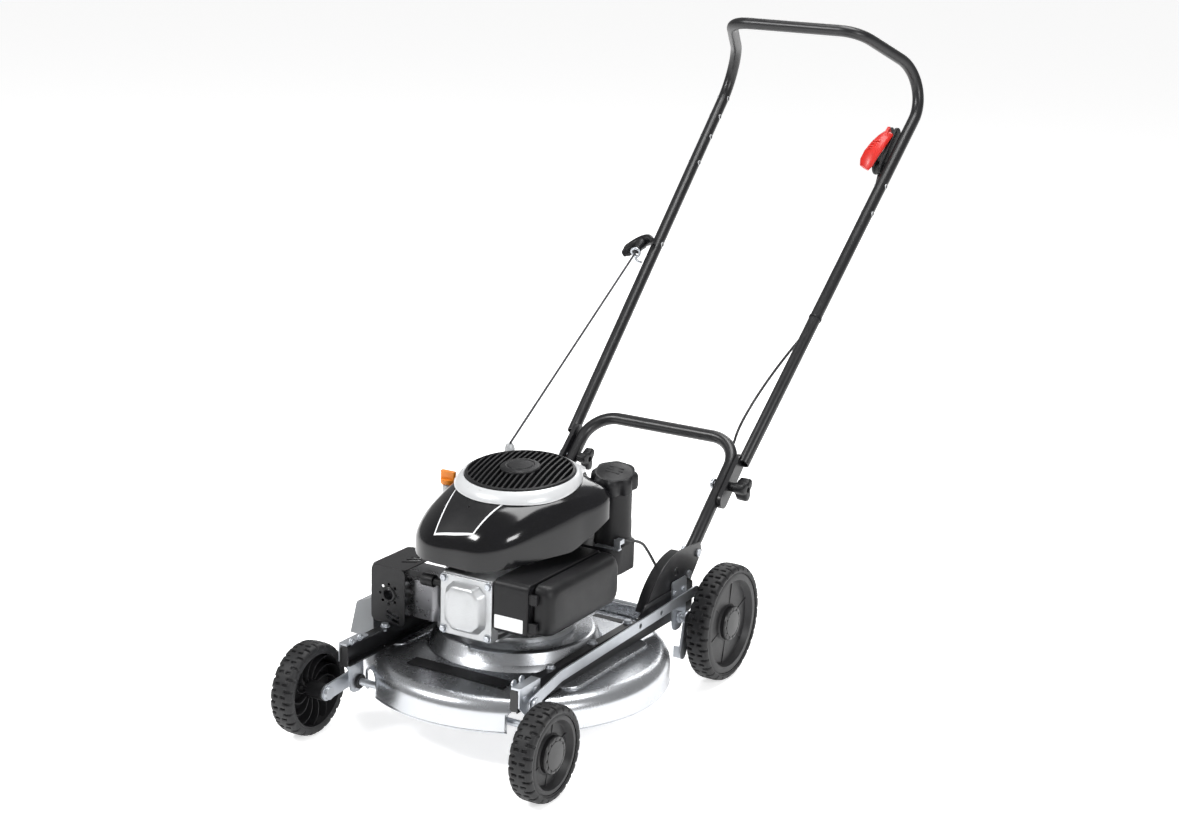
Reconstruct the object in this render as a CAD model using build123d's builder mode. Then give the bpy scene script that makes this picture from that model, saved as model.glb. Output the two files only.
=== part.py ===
"""Push lawn mower: pressed deck on four height-adjustable wheels, vertical-shaft engine on top,
swing-blade disc under the deck and a two-piece folding handle.

Units are millimetres.  +Z is up, the front faces -Y and +X is the operator's left.
The origin lies on the ground, under the middle of the whole mower.
"""

import os
from math import atan2, cos, degrees, radians, sin

from build123d import *

os.makedirs("parts", exist_ok=True)

# ---------------------------------------------------------------- driving dimensions
MID_Y = -345.0                      # middle of the wheelbase, seen from the origin
HALF_WHEELBASE = 296.0
FRONT_WHEEL_R = 76.2
REAR_WHEEL_R = 101.6
FRONT_TRACK_X = 222.4
REAR_TRACK_X = 215.0
WHEEL_W = 40.0
STUB_R = 6.35
RUNNING_GAP = 0.05                  # radial clearance of every running fit

ENGINE_Y = MID_Y - 28.0             # vertical crankshaft axis
DECK_R = 254.0
SKIRT_Z = 65.0
DECK_TOP_Z = 118.0
PLINTH_R = 134.0
PLINTH_Z = 153.0
REAR_CUT = 193.0                    # flat rear of the deck, behind the wheelbase middle
SHEET = 2.0

RAIL_X = 167.0                      # outer face of the side rails
RAIL_T = 2.5
RAIL_FLANGE = 12.0
RAIL_Z0 = 122.0
RAIL_Z1 = 158.0
RAIL_REAR_Z1 = 178.0
RAIL_FRONT_Y = MID_Y - 287.0
RAIL_STEP_Y = MID_Y + 105.0
RAIL_REAR_Y = MID_Y + 270.0

BRACKET_T = 3.0
CRANK_X = 184.0                     # inner face of the wheel cranks
CRANK_T = 4.0
ROD_R = 6.0
FRONT_PIVOT = (MID_Y - 236.0, 80.5)  # y, z of the front axle rod
REAR_PIVOT = (MID_Y + 218.0, 124.0)  # y, z of the rear axle rod
FRONT_HUB = (MID_Y - HALF_WHEELBASE, FRONT_WHEEL_R)
REAR_HUB = (MID_Y + HALF_WHEELBASE, REAR_WHEEL_R)
BAR_X = 176.0                       # inner face of the height bar
BAR_T = 3.0
BAR_PIN = (MID_Y - 262.0, 133.0)

TUBE_R = 11.0
TUBE_WALL = 1.5
LEG_X = 151.0
CLAMP = (MID_Y + 391.0, 312.0)      # y, z of the handle clamp bolts
HANDLE_SLOPE = 42.3
HANDLE_LENGTH = 965.0               # clamp bolt to the upper bend's corner
CLAMP_BOLT_R = 4.0
STRAP_X = 162.5                     # flattened foot of the upper handle
STRAP_T = 8.0
GRIP_FORWARD = 196.0
GRIP_RISE = 99.0
UPPER_X0 = 174.3
UPPER_X1 = 209.6
GRIP_X = 133.0

SIDES = (("left", 1), ("right", -1))


# ---------------------------------------------------------------- helpers
def side_plane(x):
    """Plane across X: its own x is +Y and its own y is +Z."""
    return Plane(origin=(x, 0, 0), x_dir=(0, 1, 0), z_dir=(1, 0, 0))


def front_plane(y):
    """Plane facing the front: its own x is +X and its own y is +Z."""
    return Plane(origin=(0, y, 0), x_dir=(1, 0, 0), z_dir=(0, -1, 0))


def along(distance):
    """Point on the handle's slope, y and z, measured upwards from the clamp bolts."""
    slope = radians(HANDLE_SLOPE)
    return (CLAMP[0] + distance * cos(slope), CLAMP[1] + distance * sin(slope))


def ring_plane(x, y, z):
    """Plane whose normal is +X, centred on a bolt or hub."""
    return Plane(origin=(x, y, z), x_dir=(0, 1, 0), z_dir=(1, 0, 0))


CRANK_AXIS = Axis((0, ENGINE_Y, 0), (0, 0, 1))

# ---------------------------------------------------------------- deck
with BuildPart() as deck_shell:
    for grow, mode in ((0.0, Mode.ADD), (SHEET, Mode.SUBTRACT)):
        with BuildSketch(front_plane(ENGINE_Y)):
            with BuildLine():
                skirt_bottom = SKIRT_Z - grow
                FilletPolyline(
                    (0, skirt_bottom),
                    (DECK_R - grow, skirt_bottom),
                    (DECK_R - grow, DECK_TOP_Z - grow),
                    (PLINTH_R + 12 + grow * 0.3, DECK_TOP_Z + 3 - grow),
                    (PLINTH_R - grow * 0.6, PLINTH_Z - grow),
                    (0, PLINTH_Z - grow),
                    radius=[0.4, 24 - grow, 12 + grow, 11 - grow],
                )
                Line((0, PLINTH_Z - grow), (0, skirt_bottom))
            make_face()
        revolve(axis=CRANK_AXIS, mode=mode)
    # rolled lower edge
    with BuildSketch(front_plane(ENGINE_Y)):
        with Locations((DECK_R - 2.0, SKIRT_Z + 1.5)):
            Circle(2.4)
    revolve(axis=CRANK_AXIS)
    # raised pads that carry the rails
    for name, side in SIDES:
        with BuildSketch(Plane.XY.offset(DECK_TOP_Z - 1.0)):
            with Locations((side * 164, ENGINE_Y - 4)):
                SlotOverall(250, 50, rotation=90)
        extrude(amount=RAIL_Z0 - DECK_TOP_Z + 1.0)
    with BuildSketch(Plane.XY.offset(PLINTH_Z - 10)):
        with Locations((0, ENGINE_Y)):
            Circle(30)
    extrude(amount=20, mode=Mode.SUBTRACT)
    # notches in the skirt for the front axle rod
    for name, side in SIDES:
        with BuildSketch(side_plane(side * 120)):
            with Locations((FRONT_PIVOT[0], FRONT_PIVOT[1] - 6)):
                SlotOverall(60, 26, rotation=90)
        extrude(amount=side * 60, mode=Mode.SUBTRACT)
    # rear cut off flat and closed by a wall
    with BuildSketch(Plane.XY.offset(SKIRT_Z - 5)):
        with Locations((0, MID_Y + REAR_CUT + 50)):
            Rectangle(400, 100)
    extrude(amount=120, mode=Mode.SUBTRACT)
    with BuildSketch(front_plane(MID_Y + REAR_CUT)):
        with Locations((0, (SKIRT_Z + DECK_TOP_Z) / 2)):
            Rectangle(246, DECK_TOP_Z - SKIRT_Z)
    extrude(amount=SHEET)
    # side discharge opening, under the chute
    with BuildSketch(Plane.XY.offset(84)):
        with Locations((-230, MID_Y - 95)):
            Rectangle(56, 104)
    extrude(amount=60, mode=Mode.SUBTRACT)
deck_shell.part.label = "deck_shell"
export_step(deck_shell.part, "parts/deck_shell.step")

with BuildPart() as discharge_chute:
    chute_mid_y = MID_Y - 95
    for grow, mode in ((0.0, Mode.ADD), (2.5, Mode.SUBTRACT)):
        with BuildSketch(front_plane(chute_mid_y + 62 - grow)):
            with BuildLine():
                FilletPolyline(
                    (-196 - grow, 123 - grow),
                    (-197 - grow, 192 - grow),
                    (-230 + grow * 0.7, 181 - grow),
                    (-243 + grow, 123 - grow),
                    radius=[6, 9],
                )
                Line((-243 + grow, 123 - grow), (-196 - grow, 123 - grow))
            make_face()
        extrude(amount=124 - 2 * grow, mode=mode)
discharge_chute.part.label = "discharge_chute"
export_step(discharge_chute.part, "parts/discharge_chute.step")

# ---------------------------------------------------------------- side rails
RAIL_BOLT_Y = (MID_Y - 178, MID_Y - 50, MID_Y + 62)
for name, side in SIDES:
    with BuildPart() as rail:
        with BuildSketch(side_plane(side * (RAIL_X - RAIL_T))):
            with BuildLine():
                FilletPolyline(
                    (RAIL_FRONT_Y, RAIL_Z0 + 10),
                    (RAIL_FRONT_Y, RAIL_Z1),
                    (RAIL_STEP_Y - 24, RAIL_Z1),
                    (RAIL_STEP_Y, RAIL_REAR_Z1),
                    (RAIL_REAR_Y, RAIL_REAR_Z1),
                    (RAIL_REAR_Y, RAIL_Z0),
                    (RAIL_FRONT_Y, RAIL_Z0),
                    radius=[8, 20, 12, 10, 10],
                )
                Line((RAIL_FRONT_Y, RAIL_Z0), (RAIL_FRONT_Y, RAIL_Z0 + 10))
            make_face()
            with Locations(REAR_PIVOT):
                Circle(12.0, mode=Mode.SUBTRACT)
        extrude(amount=side * RAIL_T)
        flange_mid_x = side * (RAIL_X - RAIL_T - RAIL_FLANGE / 2)
        flange_length = RAIL_STEP_Y - 30 - RAIL_FRONT_Y
        for flange_z in (RAIL_Z0, RAIL_Z1 - RAIL_T):
            with BuildSketch(Plane.XY.offset(flange_z)):
                with Locations((flange_mid_x, RAIL_FRONT_Y + 4 + flange_length / 2)):
                    Rectangle(RAIL_FLANGE, flange_length - 8)
                with Locations(*[(side * 157.5, y) for y in RAIL_BOLT_Y]):
                    Circle(3.3, mode=Mode.SUBTRACT)
            extrude(amount=RAIL_T)
        with BuildSketch(front_plane(RAIL_FRONT_Y + RAIL_T + 1.5)):
            with Locations((flange_mid_x, (RAIL_Z0 + RAIL_Z1) / 2)):
                RectangleRounded(RAIL_FLANGE, RAIL_Z1 - RAIL_Z0 - 1, 4)
        extrude(amount=RAIL_T)
    rail.part.label = f"{name}_rail"
    export_step(rail.part, f"parts/{name}_rail.step")

# ---------------------------------------------------------------- handle brackets
FIN_X = RAIL_X - RAIL_T             # outer face of the fins, against the rails
FIN_T = 2.5
FIN_HOLE = (MID_Y + 213.0, 206.0)
FIN_HOLE_R = 7.5
LEG_BOLT_Y = (MID_Y + 256.0, MID_Y + 288.0)
LEG_BOLTS = [along((y - CLAMP[0]) / cos(radians(HANDLE_SLOPE))) for y in LEG_BOLT_Y]
FIN_START = (MID_Y + 102.0, 126.0)
FIN_MID = (MID_Y + 143.0, 208.0)
FIN_TOP = (MID_Y + 240.0, 239.0)
with BuildPart() as handle_brackets:
    for name, side in SIDES:
        with BuildSketch(side_plane(side * (FIN_X - FIN_T))):
            with BuildLine():
                ThreePointArc(FIN_START, FIN_MID, FIN_TOP)
                Polyline(
                    FIN_TOP,
                    (MID_Y + 297, 236),
                    (MID_Y + 304, 218),
                    (MID_Y + 256, 164),
                    (MID_Y + 240, 126),
                    FIN_START,
                )
            make_face()
            with Locations(FIN_HOLE):
                Circle(FIN_HOLE_R, mode=Mode.SUBTRACT)
            with Locations(REAR_PIVOT):
                Circle(12.0, mode=Mode.SUBTRACT)
            with Locations(*LEG_BOLTS):
                Circle(4.0, mode=Mode.SUBTRACT)
        extrude(amount=side * FIN_T)
        # flange turned inwards along the curved edge
        with BuildSketch(side_plane(side * (FIN_X - FIN_T - 16))):
            with BuildLine():
                edge_arc = ThreePointArc(
                    (MID_Y + 108.0, 162.0), (MID_Y + 149.0, 212.8), (MID_Y + 226.0, 238.5)
                )
                offset(edge_arc, amount=FIN_T, side=Side.RIGHT)
            make_face()
        extrude(amount=side * 16)
handle_brackets.part.label = "handle_brackets"
export_step(handle_brackets.part, "parts/handle_brackets.step")

# ---------------------------------------------------------------- axle brackets and bushes
BUSH_R = 9.0
with BuildPart() as front_axle_brackets:
    for name, side in SIDES:
        with BuildSketch(side_plane(side * RAIL_X)):
            with BuildLine():
                FilletPolyline(
                    (MID_Y - 286, 130),
                    (MID_Y - 286, 161.5),
                    (MID_Y - 228, 161.5),
                    (MID_Y - 223, 96),
                    (MID_Y - 226, 62),
                    (MID_Y - 256, 66),
                    (MID_Y - 262, 108),
                    (MID_Y - 286, 130),
                    radius=[2, 2, 2, 10, 12, 12, 10],
                )
            make_face()
            with Locations(FRONT_PIVOT):
                Circle(BUSH_R, mode=Mode.SUBTRACT)
            with Locations((MID_Y - 272, 141), (MID_Y - 244, 147)):
                Circle(3.0, mode=Mode.SUBTRACT)
        extrude(amount=side * BRACKET_T)
        with BuildSketch(Plane.XY.offset(RAIL_Z1)):
            with Locations((side * (RAIL_X - 6.0), MID_Y - 257)):
                Rectangle(14, 57)
        extrude(amount=3.5)
front_axle_brackets.part.label = "front_axle_brackets"
export_step(front_axle_brackets.part, "parts/front_axle_brackets.step")

with BuildPart() as rear_axle_brackets:
    for name, side in SIDES:
        with BuildSketch(side_plane(side * RAIL_X)):
            with BuildLine():
                FilletPolyline(
                    (MID_Y + 196, 130),
                    (MID_Y + 192, 192),
                    (MID_Y + 242, 192),
                    (MID_Y + 242, 126),
                    (MID_Y + 226, 102),
                    (MID_Y + 200, 102),
                    (MID_Y + 196, 130),
                    radius=[5, 5, 5, 12, 12, 12],
                )
            make_face()
            with Locations(REAR_PIVOT):
                Circle(BUSH_R, mode=Mode.SUBTRACT)
            with Locations((MID_Y + 202, 170), (MID_Y + 230, 170)):
                Circle(3.0, mode=Mode.SUBTRACT)
        extrude(amount=side * BRACKET_T)
rear_axle_brackets.part.label = "rear_axle_brackets"
export_step(rear_axle_brackets.part, "parts/rear_axle_brackets.step")

with BuildPart() as axle_bushes:
    for name, side in SIDES:
        for pivot_y, pivot_z in (FRONT_PIVOT, REAR_PIVOT):
            with BuildSketch(ring_plane(side * (RAIL_X - 5), pivot_y, pivot_z)):
                Circle(12)
                Circle(ROD_R + RUNNING_GAP, mode=Mode.SUBTRACT)
            extrude(amount=side * 5)
            with BuildSketch(ring_plane(side * RAIL_X, pivot_y, pivot_z)):
                Circle(BUSH_R)
                Circle(ROD_R + RUNNING_GAP, mode=Mode.SUBTRACT)
            extrude(amount=side * (BRACKET_T + 0.3))
axle_bushes.part.label = "axle_bushes"
export_step(axle_bushes.part, "parts/axle_bushes.step")

with BuildPart() as rear_cross_member:
    with BuildSketch(Plane.XY.offset(DECK_TOP_Z + 2)):
        with Locations((0, MID_Y + REAR_CUT - 5)):
            Rectangle(230, 14)
    extrude(amount=SHEET)
    with BuildSketch(front_plane(MID_Y + REAR_CUT + 2)):
        with Locations((0, DECK_TOP_Z + 6)):
            RectangleRounded(236, 20, 6)
    extrude(amount=SHEET)
rear_cross_member.part.label = "rear_cross_member"
export_step(rear_cross_member.part, "parts/rear_cross_member.step")

# ---------------------------------------------------------------- handles
U_BAR_S = 94.0                      # clamp bolts to the U's cross bar, along the slope
LEG_FOOT = along((MID_Y + 238 - CLAMP[0]) / cos(radians(HANDLE_SLOPE)))
LEG_HEAD = along(U_BAR_S)
with BuildPart() as lower_handle:
    for radius, mode in ((TUBE_R, Mode.ADD), (TUBE_R - TUBE_WALL, Mode.SUBTRACT)):
        with BuildLine() as lower_path:
            FilletPolyline(
                (LEG_X, *LEG_FOOT),
                (LEG_X, *LEG_HEAD),
                (-LEG_X, *LEG_HEAD),
                (-LEG_X, *LEG_FOOT),
                radius=55,
            )
        with BuildSketch(Plane(origin=lower_path.line @ 0, z_dir=lower_path.line % 0)):
            Circle(radius)
        sweep(path=lower_path.line, mode=mode)
    with BuildSketch(side_plane(-200)):
        with Locations(CLAMP, *LEG_BOLTS):
            Circle(CLAMP_BOLT_R)
    extrude(amount=400, mode=Mode.SUBTRACT)
lower_handle.part.label = "lower_handle"
export_step(lower_handle.part, "parts/lower_handle.step")

BEND_A = along(HANDLE_LENGTH)
BEND_B = (BEND_A[0] - GRIP_FORWARD, BEND_A[1] + GRIP_RISE)
STRAP_S0 = -44.0
STRAP_S1 = 66.0
with BuildPart() as upper_handle:
    for radius, mode in ((TUBE_R, Mode.ADD), (TUBE_R - TUBE_WALL, Mode.SUBTRACT)):
        with BuildLine() as upper_path:
            FilletPolyline(
                (UPPER_X0, *along(50)),
                (UPPER_X1, *BEND_A),
                (GRIP_X, *BEND_B),
                (-GRIP_X, *BEND_B),
                (-UPPER_X1, *BEND_A),
                (-UPPER_X0, *along(50)),
                radius=[72, 52, 52, 72],
            )
        with BuildSketch(Plane(origin=upper_path.line @ 0, z_dir=upper_path.line % 0)):
            Circle(radius)
        sweep(path=upper_path.line, mode=mode)
    for name, side in SIDES:
        with BuildSketch(side_plane(side * STRAP_X)):
            with Locations(along((STRAP_S0 + STRAP_S1) / 2)):
                SlotOverall(STRAP_S1 - STRAP_S0, 29, rotation=HANDLE_SLOPE)
            with Locations(CLAMP):
                Circle(CLAMP_BOLT_R + RUNNING_GAP, mode=Mode.SUBTRACT)
        extrude(amount=side * STRAP_T)
upper_handle.part.label = "upper_handle"
export_step(upper_handle.part, "parts/upper_handle.step")

# ---------------------------------------------------------------- fasteners of the frame
BRACKET_SCREWS = (
    (MID_Y - 272, 141), (MID_Y - 244, 147), (MID_Y + 202, 170), (MID_Y + 230, 170)
)
with BuildPart() as frame_bolts:
    for name, side in SIDES:
        for y in RAIL_BOLT_Y:
            for z, radius, height in ((RAIL_Z1 - 8, 3.0, 9), (RAIL_Z1, 8.0, 1.5), (RAIL_Z1, 5.5, 5.5)):
                with BuildSketch(Plane.XY.offset(z)):
                    with Locations((side * 157.5, y)):
                        Circle(radius)
                extrude(amount=height)
        for spot in BRACKET_SCREWS:
            for x, radius, length in ((RAIL_X, 2.9, 4), (RAIL_X + BRACKET_T, 5.5, 2.4)):
                with BuildSketch(side_plane(side * x)):
                    with Locations(spot):
                        Circle(radius)
                extrude(amount=side * length)
        for spot in LEG_BOLTS:
            for x, radius, length in ((135, 6.5, 5), (140, 3.9, 25), (FIN_X, 7, 3.5)):
                with BuildSketch(side_plane(side * x)):
                    with Locations(spot):
                        Circle(radius)
                extrude(amount=side * length)
    # clamp bolts: the left one has its head inboard, the right one outboard
    for x, length in ((138, 58), (-171, 48)):
        with BuildSketch(side_plane(x)):
            with Locations(CLAMP):
                Circle(CLAMP_BOLT_R)
        extrude(amount=length)
    for x, length in ((134.5, 5), (-175.5, 4.5)):
        with BuildSketch(side_plane(x)):
            with Locations(CLAMP):
                Circle(9)
        extrude(amount=length)
frame_bolts.part.label = "frame_bolts"
export_step(frame_bolts.part, "parts/frame_bolts.step")

KNOB_X = {"left": (171.0, 205.0, 1), "right": (-139.0, -115.0, 1)}
for name, (x0, x1, side) in KNOB_X.items():
    with BuildPart() as knob:
        with BuildSketch(side_plane(x0)):
            with Locations(CLAMP):
                Circle(9)
        extrude(amount=(x1 - x0) * 0.35)
        with BuildSketch(side_plane(x0 + (x1 - x0) * 0.3)):
            with Locations(CLAMP):
                Circle(15)
                with PolarLocations(15, 3, 90):
                    Circle(7.5)
        extrude(amount=(x1 - x0) * 0.7)
        with BuildSketch(side_plane(x0 - 1)):
            with Locations(CLAMP):
                Circle(CLAMP_BOLT_R + RUNNING_GAP)
        extrude(amount=x1 - x0 + 2, mode=Mode.SUBTRACT)
    knob.part.label = f"{name}_knob"
    export_step(knob.part, f"parts/{name}_knob.step")

# ---------------------------------------------------------------- wheels and axles
def hub_side(side, x, hub):
    """Plane on a wheel's axis, normal pointing outwards."""
    return Plane(origin=(side * x, *hub), x_dir=(0, 1, 0), z_dir=(side, 0, 0))


CORNERS = []
for name, side in SIDES:
    CORNERS.append((f"front_{name}", side, FRONT_HUB, FRONT_TRACK_X, FRONT_WHEEL_R, 62.0, 53.0, 24))
    CORNERS.append((f"rear_{name}", side, REAR_HUB, REAR_TRACK_X, REAR_WHEEL_R, 88.0, 75.0, 30))

for name, side, hub, track, wheel_r, seat_r, dish_r, blocks in CORNERS:
    inner_x = track - WHEEL_W / 2
    with BuildPart() as tyre:
        with BuildSketch(hub_side(side, inner_x, hub)):
            Circle(wheel_r)
            Circle(seat_r, mode=Mode.SUBTRACT)
        extrude(amount=WHEEL_W)
        chamfer(tyre.edges().filter_by(GeomType.CIRCLE).group_by(SortBy.RADIUS)[-1], 3)
        for offset_x, phase in ((0, 0.0), (WHEEL_W / 2 + 1.5, 0.5)):
            with BuildSketch(hub_side(side, inner_x + offset_x, hub)):
                with PolarLocations(wheel_r, blocks, phase * 360 / blocks):
                    Rectangle(7, 5)
            extrude(amount=WHEEL_W / 2 - 1.5, mode=Mode.SUBTRACT)
    tyre.part.label = f"{name}_tyre"
    export_step(tyre.part, f"parts/{name}_tyre.step")
    with BuildPart() as rim:
        with BuildSketch(hub_side(side, inner_x, hub)):
            Circle(seat_r)
            Circle(seat_r - 5, mode=Mode.SUBTRACT)
        extrude(amount=WHEEL_W - 1)
        with BuildSketch(hub_side(side, inner_x + WHEEL_W - 9, hub)):
            Circle(seat_r - 2)
            Circle(dish_r, mode=Mode.SUBTRACT)
        extrude(amount=8)
        with BuildSketch(hub_side(side, inner_x + WHEEL_W - 15, hub)):
            Circle(seat_r - 2)
        extrude(amount=6)
        with BuildSketch(hub_side(side, inner_x + 3, hub)):
            with PolarLocations((seat_r + 8) / 2, 8):
                Rectangle(seat_r - 10, 3)
        extrude(amount=WHEEL_W - 16)
        with BuildSketch(hub_side(side, CRANK_X + CRANK_T + 0.4, hub)):
            Circle(14)
        extrude(amount=inner_x + WHEEL_W - 10 - CRANK_X - CRANK_T)
        with BuildSketch(hub_side(side, CRANK_X, hub)):
            Circle(STUB_R + RUNNING_GAP)
        extrude(amount=60, mode=Mode.SUBTRACT)
    rim.part.label = f"{name}_rim"
    export_step(rim.part, f"parts/{name}_rim.step")
    with BuildPart() as hub_cap:
        with BuildSketch(hub_side(side, inner_x + WHEEL_W - 9, hub)):
            Circle(30)
        extrude(amount=10)
        fillet(hub_cap.edges().filter_by(GeomType.CIRCLE).sort_by(Axis.X)[-1 if side > 0 else 0], 4)
        with BuildSketch(hub_side(side, inner_x + WHEEL_W - 10, hub)):
            Circle(27)
        extrude(amount=8, mode=Mode.SUBTRACT)
    hub_cap.part.label = f"{name}_hub_cap"
    export_step(hub_cap.part, f"parts/{name}_hub_cap.step")


def link(x, thickness, first, second, height):
    """Flat link with round ends between two pivots, seen from the side."""
    length = ((second[0] - first[0]) ** 2 + (second[1] - first[1]) ** 2) ** 0.5
    turn = degrees(atan2(second[1] - first[1], second[0] - first[0]))
    middle = ((first[0] + second[0]) / 2, (first[1] + second[1]) / 2)
    with BuildSketch(side_plane(x)) as profile:
        with Locations(middle):
            SlotCenterToCenter(length, height, rotation=turn)
    extrude(profile.sketch, amount=thickness)


def round_bar(x, length, spot, radius):
    """Round bar along X."""
    with BuildSketch(side_plane(x)) as profile:
        with Locations(spot):
            Circle(radius)
    extrude(profile.sketch, amount=length)


for name, pivot, hub, stub in (
    ("front_axle", FRONT_PIVOT, FRONT_HUB, FRONT_TRACK_X - 14 - CRANK_X),
    ("rear_axle", REAR_PIVOT, REAR_HUB, REAR_TRACK_X - 14 - CRANK_X),
):
    with BuildPart() as axle:
        round_bar(-CRANK_X - CRANK_T, 2 * (CRANK_X + CRANK_T), pivot, ROD_R)
        for side_name, side in SIDES:
            link(side * CRANK_X, side * CRANK_T, pivot, hub, 26)
            round_bar(side * (RAIL_X + BRACKET_T + 0.8), side * 4.6, pivot, 10)
            round_bar(side * CRANK_X, side * (stub + 22), hub, STUB_R)
            round_bar(side * (CRANK_X - 6), side * 6, hub, 10)
        if name == "front_axle":
            link(CRANK_X, CRANK_T, pivot, BAR_PIN, 22)
            round_bar(BAR_X - 3.0, CRANK_X - BAR_X + 3.0, BAR_PIN, 4.0)
            round_bar(BAR_X + BAR_T + 0.5, CRANK_X - BAR_X - BAR_T - 0.5, BAR_PIN, 7.0)
        if name == "rear_axle":
            link(CRANK_X, CRANK_T, pivot, (MID_Y + 206, 66), 22)
            with BuildSketch(side_plane(CRANK_X - 14)):
                with Locations((MID_Y + 205, 66)):
                    Rectangle(4, 20)
            extrude(amount=16)
    axle.part.label = name
    export_step(axle.part, f"parts/{name}.step")

BAR_KINK = (MID_Y - 179, 150)
BAR_END = (MID_Y + 262, 160)
with BuildPart() as height_bar:
    link(BAR_X, BAR_T, BAR_PIN, BAR_KINK, 18)
    link(BAR_X, BAR_T, BAR_KINK, BAR_END, 18)
    with BuildSketch(side_plane(BAR_X)):
        with Locations(BAR_PIN):
            Circle(4.0 + RUNNING_GAP)
        with Locations((MID_Y + 68, 155.5), (MID_Y + 139, 157)):
            Circle(4.5)
    extrude(amount=BAR_T, mode=Mode.SUBTRACT)
height_bar.part.label = "height_bar"
export_step(height_bar.part, "parts/height_bar.step")

# ---------------------------------------------------------------- engine
CRANK_R = 12.5
CYLINDER_X = 13.0
DIPSTICK = (-148.0, -15.0)


def box(x0, x1, y0, y1, z0, z1, radius=0.0, mode=Mode.ADD):
    """Block between two corners, y measured from the wheelbase middle."""
    with BuildSketch(Plane.XY.offset(z0)) as profile:
        with Locations(((x0 + x1) / 2, MID_Y + (y0 + y1) / 2)):
            if radius > 0:
                RectangleRounded(x1 - x0, y1 - y0, radius)
            else:
                Rectangle(x1 - x0, y1 - y0)
    extrude(profile.sketch, amount=z1 - z0, mode=mode)


def disc(radius, z0, z1, x=0.0, y=ENGINE_Y, mode=Mode.ADD):
    """Upright cylinder."""
    with BuildSketch(Plane.XY.offset(z0)) as profile:
        with Locations((x, y)):
            Circle(radius)
    extrude(profile.sketch, amount=z1 - z0, mode=mode)


with BuildPart() as engine_block:
    disc(96, PLINTH_Z, PLINTH_Z + 9)
    disc(78, PLINTH_Z + 9, 200)
    disc(61, 198, 236)
    disc(34, 234, 282)
    box(CYLINDER_X - 42, CYLINDER_X + 42, -110, -60, 178, 270, 8)
    for number in range(9):
        box(CYLINDER_X - 48, CYLINDER_X + 46, -176, -100, 178 + 11 * number, 182 + 11 * number, 3)
    box(CYLINDER_X - 36, CYLINDER_X + 36, -176, -100, 184, 264)
    box(CYLINDER_X - 48, CYLINDER_X + 46, -196, -172, 182, 284, 6)
    box(-150, -96, -42, 6, PLINTH_Z + 9, PLINTH_Z + 34, 8)
    box(-100, -60, -42, 6, PLINTH_Z + 9, 216, 8)
    disc(CRANK_R + RUNNING_GAP, PLINTH_Z - 5, 300, mode=Mode.SUBTRACT)
    # oil filler tube
    with BuildLine() as filler_path:
        FilletPolyline(
            (-138, MID_Y - 18, PLINTH_Z + 32),
            (-138, MID_Y - 18, 240),
            (DIPSTICK[0], MID_Y + DIPSTICK[1], 360),
            radius=60,
        )
    with BuildSketch(Plane(origin=filler_path.line @ 0, z_dir=filler_path.line % 0)):
        Circle(10)
    sweep(path=filler_path.line)
engine_block.part.label = "engine_block"
export_step(engine_block.part, "parts/engine_block.step")

ROCKER_Z = 233.0
ROCKER_BOLTS = [(CYLINDER_X + 39 * i, ROCKER_Z + 41 * j) for i in (-1, 1) for j in (-1, 1)]
with BuildPart() as rocker_cover:
    with BuildSketch(front_plane(MID_Y - 196)):
        with Locations((CYLINDER_X, ROCKER_Z)):
            RectangleRounded(96, 98, 9)
        with Locations(*ROCKER_BOLTS):
            Circle(3.0, mode=Mode.SUBTRACT)
    extrude(amount=4)
    with BuildSketch(front_plane(MID_Y - 199)):
        with Locations((CYLINDER_X, ROCKER_Z)):
            RegularPolygon(38, 8, major_radius=False, rotation=22.5)
    extrude(amount=16, taper=8)
rocker_cover.part.label = "rocker_cover"
export_step(rocker_cover.part, "parts/rocker_cover.step")

with BuildPart() as rocker_cover_bolts:
    for depth, radius, length in ((196, 2.9, 4.5), (200, 6.0, 1.5), (201.5, 4.6, 4.0)):
        with BuildSketch(front_plane(MID_Y - depth)):
            with Locations(*ROCKER_BOLTS):
                Circle(radius)
        extrude(amount=length)
rocker_cover_bolts.part.label = "rocker_cover_bolts"
export_step(rocker_cover_bolts.part, "parts/rocker_cover_bolts.step")

SHROUD_PLAN = (
    (-126, -156), (-84, -198), (46, -196), (104, -110), (130, -30), (137, 38),
    (84, 84), (0, 100), (-88, 78), (-129, 6), (-136, -75),
)
NECK = (115.0, 79.0)


with BuildPart() as blower_housing:
    with BuildSketch(Plane.XY.offset(292)) as shroud_outline:
        with BuildLine():
            Polyline(*[(x, MID_Y + y) for x, y in SHROUD_PLAN], close=True)
        make_face()
        fillet(shroud_outline.vertices(), 20)
    extrude(amount=96)
    # front slope that carries the blank panel
    with BuildSketch(side_plane(-200)):
        with BuildLine():
            Polyline(
                (MID_Y - 104, 400), (MID_Y - 104, 385), (MID_Y - 205, 332), (MID_Y - 240, 332),
                (MID_Y - 240, 400), (MID_Y - 104, 400),
            )
        make_face()
    extrude(amount=400, mode=Mode.SUBTRACT)
    with BuildSketch(Plane.XY.offset(289)) as shroud_inside:
        with BuildLine():
            Polyline(*[(x * 0.96, MID_Y - 28 + (y + 28) * 0.96) for x, y in SHROUD_PLAN], close=True)
        make_face()
        fillet(shroud_inside.vertices(), 18)
    extrude(amount=40, mode=Mode.SUBTRACT)
    disc(94, 320, 384, mode=Mode.SUBTRACT)
    disc(84, 380, 400, mode=Mode.SUBTRACT)
    disc(33, 280, 400, NECK[0], MID_Y + NECK[1], Mode.SUBTRACT)
    disc(42, 372, 400, NECK[0], MID_Y + NECK[1], Mode.SUBTRACT)
    # eyelet where the starter rope leaves
    disc(10, 380, 428, -78, MID_Y + 62)
blower_housing.part.label = "blower_housing"
export_step(blower_housing.part, "parts/blower_housing.step")

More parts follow.
